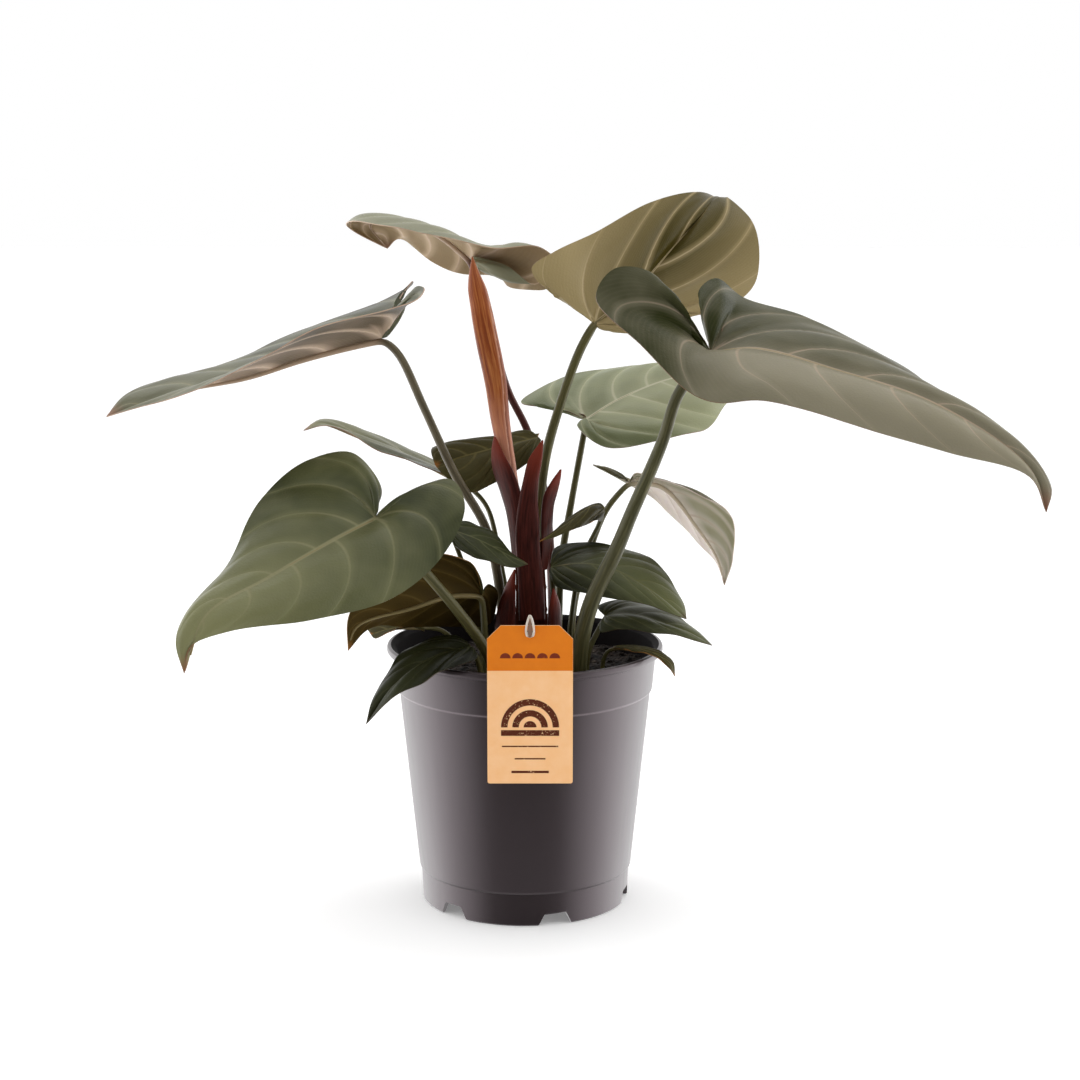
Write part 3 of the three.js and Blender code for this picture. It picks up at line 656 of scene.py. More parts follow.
class Skin(Enum):
    """The leaf finishes on this plant."""

    GREY_GREEN = BladeFinish(
        "grey_green", "#262a0c", "#8d8672", "#a08e7a", "#3c301a", "#6a5a40", "#8f7c5c", "#6b4636",
        sheen=0.1, mottling=0.3, band=0.25, paler=(0.0, 0.6), halves=(0.6, 0.0),
    )
    OLIVE = BladeFinish(
        "olive", "#2c3110", "#787853", "#7e7a58", "#3c301a", "#6a5a40", "#8f7c5c", "#7b5238",
        mottling=0.45, band=0.25, paler=(-0.1, 0.95),
    )
    FRESH = BladeFinish(
        "fresh", "#424c22", "#9c9e7c", "#b2ae94", "#3c301a", "#6a5a40", "#8f7c5c", "#7b5238",
        mottling=0.4, band=0.4, paler=(0.1, 0.5), halves=(0.4, 0.0),
    )
    PALE = BladeFinish(
        "pale", "#43452a", "#807f66", "#969078", "#6a5624", "#d0b89c", "#dcc8b2", "#8b6a58",
        band=0.6, paler=(0.6, 0.5),
    )
    DUSK = BladeFinish(
        "dusk", "#30331a", "#787762", "#8a8468", "#352a08", "#c8b09a", "#d4c0a8", "#8b6a58",
        band=0.65, paler=(-0.4, 0.7), halves=(0.0, 0.12),
    )
    COPPER = BladeFinish(
        "copper", "#3c3408", "#90805a", "#c4b28e", "#43391a", "#6e5c38", "#8c7a5c", "#7b5a3c",
        sheen=0.15, mottling=0.1, band=0.7, paler=(1.0, -1.0),
    )
    BLUSH = BladeFinish(
        "blush", "#3f3e20", "#6f6648", "#8a8260", "#747642", "#fff2ea", "#c0ae98", "#8d7460",
        halves=(0.0, 1.0),
    )
    # Darker and duller: partly these low leaves' own colour, partly painted shade, as they lie under the
    # others
    SHADE = BladeFinish(
        "shade", "#2b2810", "#4e4828", "#665e38", "#2c210a", "#5f4c1e", "#62522c", "#8b5a28",
        gloss=0.55, sheen=0.12, band=0.2,
    )
    DEEP = BladeFinish(
        "deep", "#1c1f0a", "#686c48", "#64643f", "#2a210f", "#4a3c22", "#62583a", "#4c3f28",
        sheen=0.22, band=0.1, paler=(0.0, 0.8),
    )
    MOSS = BladeFinish(
        "moss", "#1c1f0c", "#43472a", "#5a5c3e", "#2a210f", "#4a3c22", "#62583a", "#4c3f28",
        sheen=0.22, band=0.1,
    )
    # The darkest, for the leaf over the front rim: partly its own dark green, partly painted shade under the
    # canopy
    NIGHT = BladeFinish(
        "night", "#0e1005", "#33361c", "#3c3c24", "#1c160a", "#33291a", "#4a4228", "#3c3220",
        sheen=0.2, band=0.1,
    )


@dataclass(frozen=True)
class StalkFinish:
    """Fleshy stalk skin: waxy, with fine lengthwise streaks and a paler ridge.

    Args:
        name: Finish name.
        colour: Main colour.
        streak: Colour of the lengthwise streaks.
        rib: Colour where it runs on under the blade as a midrib.
        gloss: Roughness.
        sheen: How strongly it mirrors.
    """

    name: str
    colour: str
    streak: str
    rib: str
    gloss: float = 0.38
    sheen: float = 0.25

    def build(self) -> bpy.types.Material:
        """Builds the material.

        Returns:
            The material.
        """
        material, add = new_material(f"stalk_skin_{self.name}")
        places = add("TexCoord").outputs
        # Streaks run along the stalk: 14 round it, each drawn out to about 30 mm
        stretched = add("Mapping", {"Vector": places["UV"], "Scale": (14.0, 0.03, 1.0)})
        streaks = add("TexNoise", {"Vector": stretched, "Scale": 1.0, "Detail": 3.0, "Roughness": 0.6})
        patches = add("TexNoise", {"Vector": places["Object"], "Scale": scale_for(22.22), "Detail": 2.0})
        amount = add("MapRange", (streaks, 0.38, 0.66, 0.0, 1.0))
        tint = add("Math", (amount, patches), operation="MULTIPLY")
        # From the blade's base on, over 14 mm, it takes the midrib's colour
        _, along, _ = add("SeparateXYZ", (places["UV"],)).outputs
        beyond = add("MapRange", (along, -4.0, 10.0, 0.0, 0.85), interpolation_type="SMOOTHSTEP")
        colour: object = self.colour
        for amount, shade in ((tint, self.streak), (beyond, self.rib)):
            colour = add("Mix", (amount, colour, shade), data_type="RGBA")
        bump = add("Bump", {"Strength": 0.35, "Distance": 0.4 * MM, "Height": streaks})
        skin = add("BsdfPrincipled", {
            "Base Color": colour, "Roughness": self.gloss, "IOR": 1.45, "Specular IOR Level": self.sheen,
            "Normal": bump,
        })
        add("OutputMaterial", (skin,))
        return material


class Stem(Enum):
    """The stalk finishes on this plant."""

    OLIVE = StalkFinish("olive", "#3c3a1e", "#6c663e", "#857650")
    PALE = StalkFinish("pale_olive", "#37361d", "#6c6848", "#857650")
    BLUSH = StalkFinish("blush", "#4c4a2c", "#7c7650", "#d8c8b0")
    RED = StalkFinish("red", "#3a1715", "#6c4038", "#b09880")
    BROWN = StalkFinish("brown", "#484030", "#7c725a", "#a89078")


@dataclass(frozen=True)
class SheathFinish:
    """Leaf sheath skin: thick, glossy and maroon, streaked, redder at its tip and pale at its edge."""

    colour: str = "#2e0f0b"
    streak: str = "#5a241c"
    tip: str = "#752c1c"
    edge: str = "#7a4a42"

    def build(self) -> bpy.types.Material:
        """Builds the material.

        Returns:
            The material.
        """
        material, add = new_material("sheath_skin_maroon")
        veins = add("UVMap", uv_map="veins")
        _, across, _ = add("SeparateXYZ", (veins,)).outputs
        # Streaks about 1 mm wide and 20 mm long
        stretched = add("Mapping", {"Vector": veins, "Scale": (0.05, 7.0, 1.0)})
        streaks = add("TexNoise", {"Vector": stretched, "Scale": 1.0, "Detail": 4.0, "Roughness": 0.6})
        streaked = add("MapRange", (streaks, 0.38, 0.75, 0.0, 0.7))
        near_tip = add("Attribute", attribute_name="tip").outputs["Fac"]
        side = add("Math", (across,), operation="ABSOLUTE")
        rim = add("MapRange", (side, 0.9, 1.0, 0.0, 0.8), interpolation_type="SMOOTHSTEP")
        colour: object = self.colour
        for amount, shade in ((streaked, self.streak), (near_tip, self.tip), (rim, self.edge)):
            colour = add("Mix", (amount, colour, shade), data_type="RGBA")
        bump = add("Bump", {"Strength": 0.5, "Distance": 0.5 * MM, "Height": streaks})
        skin = add("BsdfPrincipled", {
            "Base Color": colour, "Roughness": 0.42, "IOR": 1.45, "Specular IOR Level": 0.12, "Normal": bump,
        })
        add("OutputMaterial", (skin,))
        return material


@dataclass(frozen=True)
class NewLeafFinish:
    """Rolled young leaf: thin copper skin, satin, streaked lengthwise, pinkish low down, with a pale margin.

    Args:
        seam: Share of a turn at which the free margin starts.
        turn: Turns that it makes in a millimetre.
    """

    seam: float
    turn: float
    colour: str = "#803a0e"
    light: str = "#ae6c38"
    # Dark streaks, and the painted shadow in the fold beside the margin
    dark: str = "#582410"
    low: str = "#cc9480"
    margin: str = "#d0a088"

    def build(self) -> bpy.types.Material:
        """Builds the material.

        Returns:
            The material.
        """
        material, add = new_material("young_leaf_copper")
        turns, along, _ = add("SeparateXYZ", (add("TexCoord").outputs["UV"],)).outputs
        angle = add("Math", (turns, math.tau), operation="MULTIPLY")
        east = add("Math", (angle,), operation="COSINE")
        north = add("Math", (angle,), operation="SINE")
        # Streaks 1.5 mm wide and 25 mm long, closed round the roll
        drawn = add("Math", (along, 0.01), operation="MULTIPLY")
        closed = add("CombineXYZ", (east, north, drawn))
        streaks = add("TexNoise", {"Vector": closed, "Scale": 3.6, "Detail": 5.0, "Roughness": 0.65})
        bright = add("MapRange", (streaks, 0.45, 0.68, 0.0, 0.9))
        deep = add("MapRange", (streaks, 0.44, 0.3, 0.0, 0.8))
        base = add("MapRange", (along, 90.0, 15.0, 0.0, 0.9))
        # The free margin winds round the roll: a pale line with painted shadow in the fold beside it
        unwound = add("Math", (along, -self.turn, turns), operation="MULTIPLY_ADD")
        round_it = add("Math", (unwound, self.seam), operation="SUBTRACT")
        past = add("Math", (round_it,), operation="FRACT")
        line = add("MapRange", (past, 0.955, 0.99, 0.0, 0.6))
        painted_fold_shadow = add("MapRange", (past, 0.07, 0.0, 0.0, 0.55))
        colour: object = self.colour
        for amount, shade in (
            (bright, self.light), (deep, self.dark), (base, self.low), (painted_fold_shadow, self.dark),
            (line, self.margin),
        ):
            colour = add("Mix", (amount, colour, shade), data_type="RGBA")
        bump = add("Bump", {"Strength": 0.5, "Distance": 0.5 * MM, "Height": streaks})
        skin = add("BsdfPrincipled", {
            "Base Color": colour, "Roughness": 0.42, "IOR": 1.45, "Specular IOR Level": 0.35, "Normal": bump,
            "Subsurface Weight": 0.1, "Subsurface Radius": (0.6, 0.3, 0.15), "Subsurface Scale": MM,
        })
        add("OutputMaterial", (skin,))
        return material


@dataclass(frozen=True)
class PotPlasticFinish:
    """Injection-moulded polypropylene: near black, semi-gloss, with faint vertical flow streaks.

    Args:
        colour: Main colour.
        streak: Colour of the flow streaks.
        tint: What it tints its reflections.
        seam: Pale colour of the painted highlight line under the collar, where light catches a bead.
        dust_and_shade: Colour of the peat dust and painted shade on the wall over the soil.
        seam_height: Height of that line.
        dust_and_shade_height: Where the dust and painted shade start, under the soil's face.
        inner_radii: What lies within these, up the collar and in the rim, takes the dust and painted shade.
        lip_heights: Between these the one gives way to the other.
    """

    colour: str = "#2e2628"
    streak: str = "#2e2829"
    tint: str = "#fff0f8"
    seam: str = "#c4b6bc"
    dust_and_shade: str = "#0c0908"
    seam_height: float = 133.3
    dust_and_shade_height: float = 143.5
    inner_radii: tuple[float, float] = (79.3, 82.6)
    lip_heights: tuple[float, float] = (156.6, 157.4)

    def build(self) -> bpy.types.Material:
        """Builds the material.

        Returns:
            The material.
        """
        material, add = new_material("polypropylene_moulded_dark")
        where = add("TexCoord").outputs["Object"]
        # Flow streaks run down the wall, over the mould's fine grain
        drawn = add("Mapping", {"Vector": where, "Scale": (1.0, 1.0, 0.03)})
        streaks = add(
            "TexNoise", {"Vector": drawn, "Scale": scale_for(3.846), "Detail": 3.0, "Roughness": 0.6},
        )
        grain = add("TexNoise", {"Vector": where, "Scale": scale_for(0.6667), "Detail": 1.0})
        gloss = add("MapRange", (streaks, 0.3, 0.7, 0.31, 0.35))
        # A painted highlight line under the collar, 2 mm wide, stands for light caught by a bead there
        _, _, height = add("SeparateXYZ", (where,)).outputs
        level = add("Math", (height, self.seam_height * MM), operation="SUBTRACT")
        off = add("Math", (level,), operation="ABSOLUTE")
        line = add("MapRange", (off, 1.1 * MM, 0.3 * MM, 0.0, 0.2))
        # Peat dust dulls the wall over the soil, and its near-black colour is also painted shade inside the
        # pot
        flat = add("VectorMath", (where, (1.0, 1.0, 0.0)), operation="MULTIPLY")
        reach = add("VectorMath", (flat,), operation="LENGTH")
        bound = add("MapRange", (height, *(size * MM for size in (*self.lip_heights, *self.inner_radii))))
        inside = add("Math", (reach, bound), operation="LESS_THAN")
        high = add("Math", (height, self.dust_and_shade_height * MM), operation="GREATER_THAN")
        dust_and_shade_mask = add("Math", (inside, high), operation="MULTIPLY")
        colour: object = self.colour
        for amount, shade in ((streaks, self.streak), (line, self.seam), (dust_and_shade_mask, self.dust_and_shade)):
            colour = add("Mix", (amount, colour, shade), data_type="RGBA")
        dull = add("Math", (dust_and_shade_mask, 0.45, gloss), operation="MULTIPLY_ADD")
        mirror = add("MapRange", (dust_and_shade_mask, 0.0, 1.0, 0.5, 0.1))
        bump = add("Bump", {"Strength": 0.1, "Distance": 0.2 * MM, "Height": grain})
        skin = add("BsdfPrincipled", {
            "Base Color": colour, "Roughness": dull, "IOR": 1.49, "Specular IOR Level": mirror,
            "Specular Tint": self.tint, "Normal": bump,
        })
        add("OutputMaterial", (skin,))
        return material


@dataclass(frozen=True)
class PeatFinish:
    """Moist peat: nearly black crumbs with brown fibre and a few pale grains."""

    dark: str = "#080605"
    brown: str = "#2c1f16"
    pale: str = "#8b8070"

    def build(self) -> bpy.types.Material:
        """Builds the material.

        Returns:
            The material.
        """
        material, add = new_material("peat_moist")
        where = add("TexCoord").outputs["Object"]
        # Crumbs on clods
        crumbs = add("TexVoronoi", {"Vector": where, "Scale": scale_for(2.381)})
        clods = add("TexNoise", {"Vector": where, "Scale": scale_for(6.25), "Detail": 5.0, "Roughness": 0.7})
        colour = add("ValToRGB", (clods,), ((0.35, self.dark), (0.62, self.brown), (0.8, self.pale)))
        relief = add("Math", (crumbs, clods), operation="ADD")
        bump = add("Bump", {"Strength": 0.9, "Distance": 1.2 * MM, "Height": relief})
        skin = add("BsdfPrincipled", {"Base Color": colour, "Roughness": 0.88, "IOR": 1.4, "Normal": bump})
        add("OutputMaterial", (skin,))
        return material


@dataclass(frozen=True)
class CardFinish:
    """Coated card, offset printed: smooth, faintly mottled ink over a warm ground.

    Args:
        name: Material name.
        colour: Ink colour.
        mottle: Its lighter mottling.
        gaps: Share of the ink that is worn through to the ground colour.
        ground: Colour that shows through.
    """

    name: str
    colour: str
    mottle: str
    gaps: float = 0.0
    ground: str = "#f6c796"

    def build(self) -> bpy.types.Material:
        """Builds the material.

        Returns:
            The material.
        """
        material, add = new_material(f"coated_card_{self.name}")
        where = add("TexCoord").outputs["Object"]
        # Ink is faintly mottled, and a dry stamped one leaves small specks open
        mottling = add(
            "TexNoise", {"Vector": where, "Scale": scale_for(8.333), "Detail": 4.0, "Roughness": 0.6},
        )
        specks = add(
            "TexNoise", {"Vector": where, "Scale": scale_for(1.111), "Detail": 3.0, "Roughness": 0.7},
        )
        open_ink = add("MapRange", (specks, 0.62, 0.66, 0.0, self.gaps))
        colour: object = self.colour
        for amount, shade in ((mottling, self.mottle), (open_ink, self.ground)):
            colour = add("Mix", (amount, colour, shade), data_type="RGBA")
        skin = add("BsdfPrincipled", {
            "Base Color": colour, "Roughness": 0.55, "IOR": 1.48, "Specular IOR Level": 0.25,
        })
        add("OutputMaterial", (skin,))
        return material


@dataclass(frozen=True)
class TieFinish:
    """Moulded nylon tie: milky, slightly clear and glossy."""

    name: str = "nylon_milky"
    colour: str = "#dccfbf"
    light: str = "#f2e8dc"

    def build(self) -> bpy.types.Material:
        """Builds the material.

        Returns:
            The material.
        """
        material, add = new_material(self.name)
        where = add("TexCoord").outputs["Object"]
        cloud = add("TexNoise", {"Vector": where, "Scale": scale_for(5), "Detail": 2.0})
        colour = add("Mix", (cloud, self.colour, self.light), data_type="RGBA")
        skin = add("BsdfPrincipled", {
            "Base Color": colour, "Roughness": 0.22, "IOR": 1.53, "Transmission Weight": 0.35,
        })
        add("OutputMaterial", (skin,))
        return material


# Leaves


@dataclass
class Leaf:
    """One leaf: a veined blade and the stalk that carries it on, as a midrib, under the blade.

    Args:
        name: Which leaf it is; the solids are named after it.
        rib: Places along the midrib, from the stalk to the tip.
        one: Margin of the half on the left, seen from above with the tip up.
        two: Margin of the other half.
        camber: How far each half swells upwards.
        stalk: Places along the stalk, from the blade down into the soil.
        radii: Stalk radius from the blade down.
        skin: Finish of the blade.
        stem: Finish of the stalk.
        slot: The record's slot of the blade.
        relief: How deep the quilting between side veins is.
        wave: How far the margin waves.
        small: Whether the leaf is small enough for fewer veins.
    """

    name: str
    rib: Points
    one: Points
    two: Points
    camber: float
    stalk: Points
    radii: Sequence[float]
    skin: Skin = Skin.DEEP
    stem: Stem = Stem.OLIVE
    slot: str = "leaf_low"
    relief: float = 1.5
    wave: float = 1.0
    small: bool = False

    # Share of a margin that lies behind the stalk, and how far the rows bow, as a share of the half's width
    LOBE = 0.42
    BOW = 0.07
    THICKNESS = 0.6
    # A half's width, from which on it swells and waves, and is quilted, in full
    FULL_SWELL = 30
    FULL_QUILTING = 40
    # Side veins of the lobe, how far they sweep forwards, and by how much the second half's lie further on
    LOBE_VEINS = 2.6
    VEIN_SWEEP = 0.13
    OTHER_HALF = 0.4
    # Midrib: where the stalk's ridge ends, and its first radius as a share of the stalk's
    RIDGE_END = 0.93
    RIDGE_RADIUS = 0.72
    STALK_STEP = 3

    @property
    def veins(self) -> float:
        """Side veins on each half beyond the lobe."""
        return 3.5 if self.small else 5.0

    def _half(self, margin: Points, side: int, rows: int, columns: int) -> np.ndarray:
        """Places points across one half, from the rib to the margin.

        Args:
            margin: The half's margin.
            side: 1 for the first half, -1 for the second.
            rows: Rows along the blade.
            columns: Columns from rib to margin.

        Returns:
            An array of rows, columns and coordinates.
        """
        along = np.linspace(0, 1, rows + 1)
        edge = SmoothCurve([*margin, self.rib[-1]])
        start = SmoothCurve(self.rib).at((along - self.LOBE) / (1 - self.LOBE))
        across = edge.at(along) - start
        forward = edge.tangent(along)
        reach = np.linalg.norm(across, axis=1)
        normal = unit(np.cross(across, forward)) * side
        v = np.linspace(0, 1, columns + 1)
        arch = 4 * v * (1 - v)
        swell = np.minimum(1, reach / self.FULL_SWELL) * self.camber
        return (
            start[:, None]
            + across[:, None] * v[None, :, None]
            - forward[:, None] * (self.BOW * reach[:, None] * arch)[..., None]
            + normal[:, None] * (swell[:, None] * arch)[..., None]
        )

    def _vein_number(self, along: np.ndarray, v: np.ndarray, second: np.ndarray) -> np.ndarray:
        """Numbers the side veins, each on a whole number, sweeping towards the tip as they near the margin.

        Args:
            along: Share of the blade's rows.
            v: Share of the way from rib to margin.
            second: Whether it is on the second half, whose veins leave the rib in between.

        Returns:
            The vein number.
        """
        leaves_at = along - self.VEIN_SWEEP * v**1.6
        lobe = self.LOBE_VEINS * leaves_at / self.LOBE
        rest = self.LOBE_VEINS + self.veins * (leaves_at - self.LOBE) / (1 - self.LOBE)
        return np.where(leaves_at < self.LOBE, lobe, rest) + self.OTHER_HALF * second

    def _relief(
        self, sheet: np.ndarray, along: np.ndarray, v: np.ndarray, number: np.ndarray, width: np.ndarray
    ) -> np.ndarray:
        """Quilts a sheet between its veins and waves its margin.

        Args:
            sheet: The plain sheet.
            along: Share of the blade's rows.
            v: Share of the way from rib to margin.
            number: The vein number.
            width: The half's width in each row.

        Returns:
            How far each point of the sheet moves.
        """
        middle = sheet.shape[1] // 2
        normal = unit(np.cross(np.gradient(sheet, axis=0), np.gradient(sheet, axis=1)))
        normal[:, middle] = unit(normal[:, middle - 1] + normal[:, middle + 1])
        # Quilting swells between veins, and fades at the rib, the margin and where the rows close up
        between = np.abs(np.sin(math.pi * number)) ** 0.6
        inner = smooth_step(0.02, 0.25, v) * (1 - 0.8 * smooth_step(0.7, 1.0, v))
        fade = inner * np.minimum(1, width / self.FULL_QUILTING)
        # The margin waves at two pitches, from a start that differs from leaf to leaf
        phase = sum(ord(letter) for letter in self.name) % 17
        wave = np.sin(number * 2.3 + phase) * 0.7 + np.sin(number * 4.1 + phase * 2.3) * 0.4
        edge = v**3 * np.minimum(1, width / self.FULL_SWELL) * np.sin(math.pi * along) ** 0.5
        return normal * (self.relief * between * fade + self.wave * wave * edge)[..., None]

    def blade(self, *skins: bpy.types.Material) -> bpy.types.Object:
        """Models the blade: one sheet over both halves, quilted between its veins, with a waved margin.

        Args:
            skins: Top, under and margin material.

        Returns:
            The finished blade.
        """
        rows, columns = (56, 12) if self.small else (120, 24)
        first = self._half(self.one, 1, rows, columns)
        second = self._half(self.two, -1, rows, columns)
        sheet = np.concatenate([first[:, ::-1], second[:, 1:]], axis=1)
        along = np.linspace(0, 1, rows + 1)[:, None]
        across = np.linspace(-1, 1, 2 * columns + 1)[None, :]
        v = np.abs(across)
        number = self._vein_number(along, v, across > 0)
        reach = np.linalg.norm(sheet - sheet[:, columns][:, None], axis=-1)
        width = np.where(across < 0, reach[:, :1], reach[:, -1:])
        sheet = sheet + self._relief(sheet, along, v, number, width)
        piece, grid_columns, grid_rows = grid_piece(f"leaf_{self.name}", 2 * columns, rows)
        mirrored = 2 * columns - grid_columns
        set_places(piece, sheet[grid_rows, mirrored])
        steps = np.linalg.norm(np.gradient(sheet, axis=0), axis=-1)
        share = np.clip((along - self.LOBE) / (1 - self.LOBE), 0, 1)
        rib_width = self.radii[0] * 0.6 * (1 - share) ** 0.8 + 0.3
        for name, values in (
            ("pitch", steps / np.maximum(np.gradient(number, axis=0), 1e-3)), ("rib", v * width / rib_width),
            ("tip", smooth_step(0.95, 1.0, along) * np.ones_like(v)), ("half", across * np.ones_like(along)),
        ):
            set_attribute(piece, name, values[grid_rows, mirrored])
        # The UV map runs along the veins, and a face on the rib belongs to one half
        corners = face_corners(piece)
        second_half = np.repeat(mirrored[corners].reshape(-1, 4).mean(axis=1) > columns, 4)
        outwards = np.abs(mirrored[corners] - columns) / columns
        corner_number = self._vein_number(grid_rows[corners] / rows, outwards, second_half)
        set_uv(piece, corner_number, outwards, "veins")
        edit_all(piece, merge_doubles)
        dress(piece, *skins)
        apply_modifier(
            piece, "SOLIDIFY", thickness=self.THICKNESS * MM, offset=0.0, material_offset=1,
            material_offset_rim=2,
        )
        smooth(piece, 60)
        return piece

    def stalk_piece(self) -> bpy.types.Object:
        """Models the stalk, which bends under the blade and thins out along the midrib.

        Returns:
            The finished stalk.
        """
        lower = SmoothCurve(self.stalk[::-1])
        rib = SmoothCurve(self.rib)
        along = np.linspace(0, 1, max(12, round(lower.length / self.STALK_STEP)), endpoint=False)
        share = np.linspace(0, self.RIDGE_END, max(10, round(rib.length / self.STALK_STEP)))
        ridge_radii = self.radii[0] * self.RIDGE_RADIUS * (1 - share) ** 0.75 + 0.25
        sink = ridge_radii * 0.75
        sink[0] = 0.6 * self.radii[0]
        path = np.vstack([lower.at(along), rib.at(share) + self._underside(rib, share) * sink[:, None]])
        radii = np.concatenate([spread(self.radii[::-1], along), ridge_radii])
        even_out(path, 3)
        even_out(radii, 3)
        return tube_piece(f"stalk_{self.name}", path, radii, 20, self._groove, lower.length)

    def _underside(self, rib: SmoothCurve, share: np.ndarray) -> np.ndarray:
        """Finds the direction straight down from the blade along its rib.

        Args:
            rib: The rib's curve.
            share: Shares of the rib's length.

        Returns:
            A unit direction for each share.
        """
        along = self.LOBE + (1 - self.LOBE) * share
        left, right = (
            unit(SmoothCurve([*margin, self.rib[-1]]).at(along) - rib.at(share))
            for margin in (self.one, self.two)
        )
        return -unit(np.cross(rib.tangent(share), right - left))

    @staticmethod
    def _groove(angles: np.ndarray, share: np.ndarray) -> np.ndarray:
        """Gives the shallow channel along a stalk and a slight unevenness."""
        channel = np.exp(-((angles - math.pi / 2) / 0.5) ** 2)
        return 1 - 0.1 * channel + 0.02 * np.sin(share * 40)

    def build(
        self, skins: dict[Skin, tuple[bpy.types.Material, ...]], stems: dict[Stem, bpy.types.Material]
    ) -> None:
        """Makes and dresses the blade and the stalk.

        Args:
            skins: Top, under and margin material of each finish.
            stems: Material of each stalk finish.
        """
        hand_over(self.blade(*skins[self.skin]), self.slot, f"blade_{self.name}")
        stalk = self.stalk_piece()
        dress(stalk, stems[self.stem])
        slot = "petiole_red" if self.stem is Stem.RED else "petiole_olive"
        hand_over(stalk, slot, f"petiole_{self.name}")


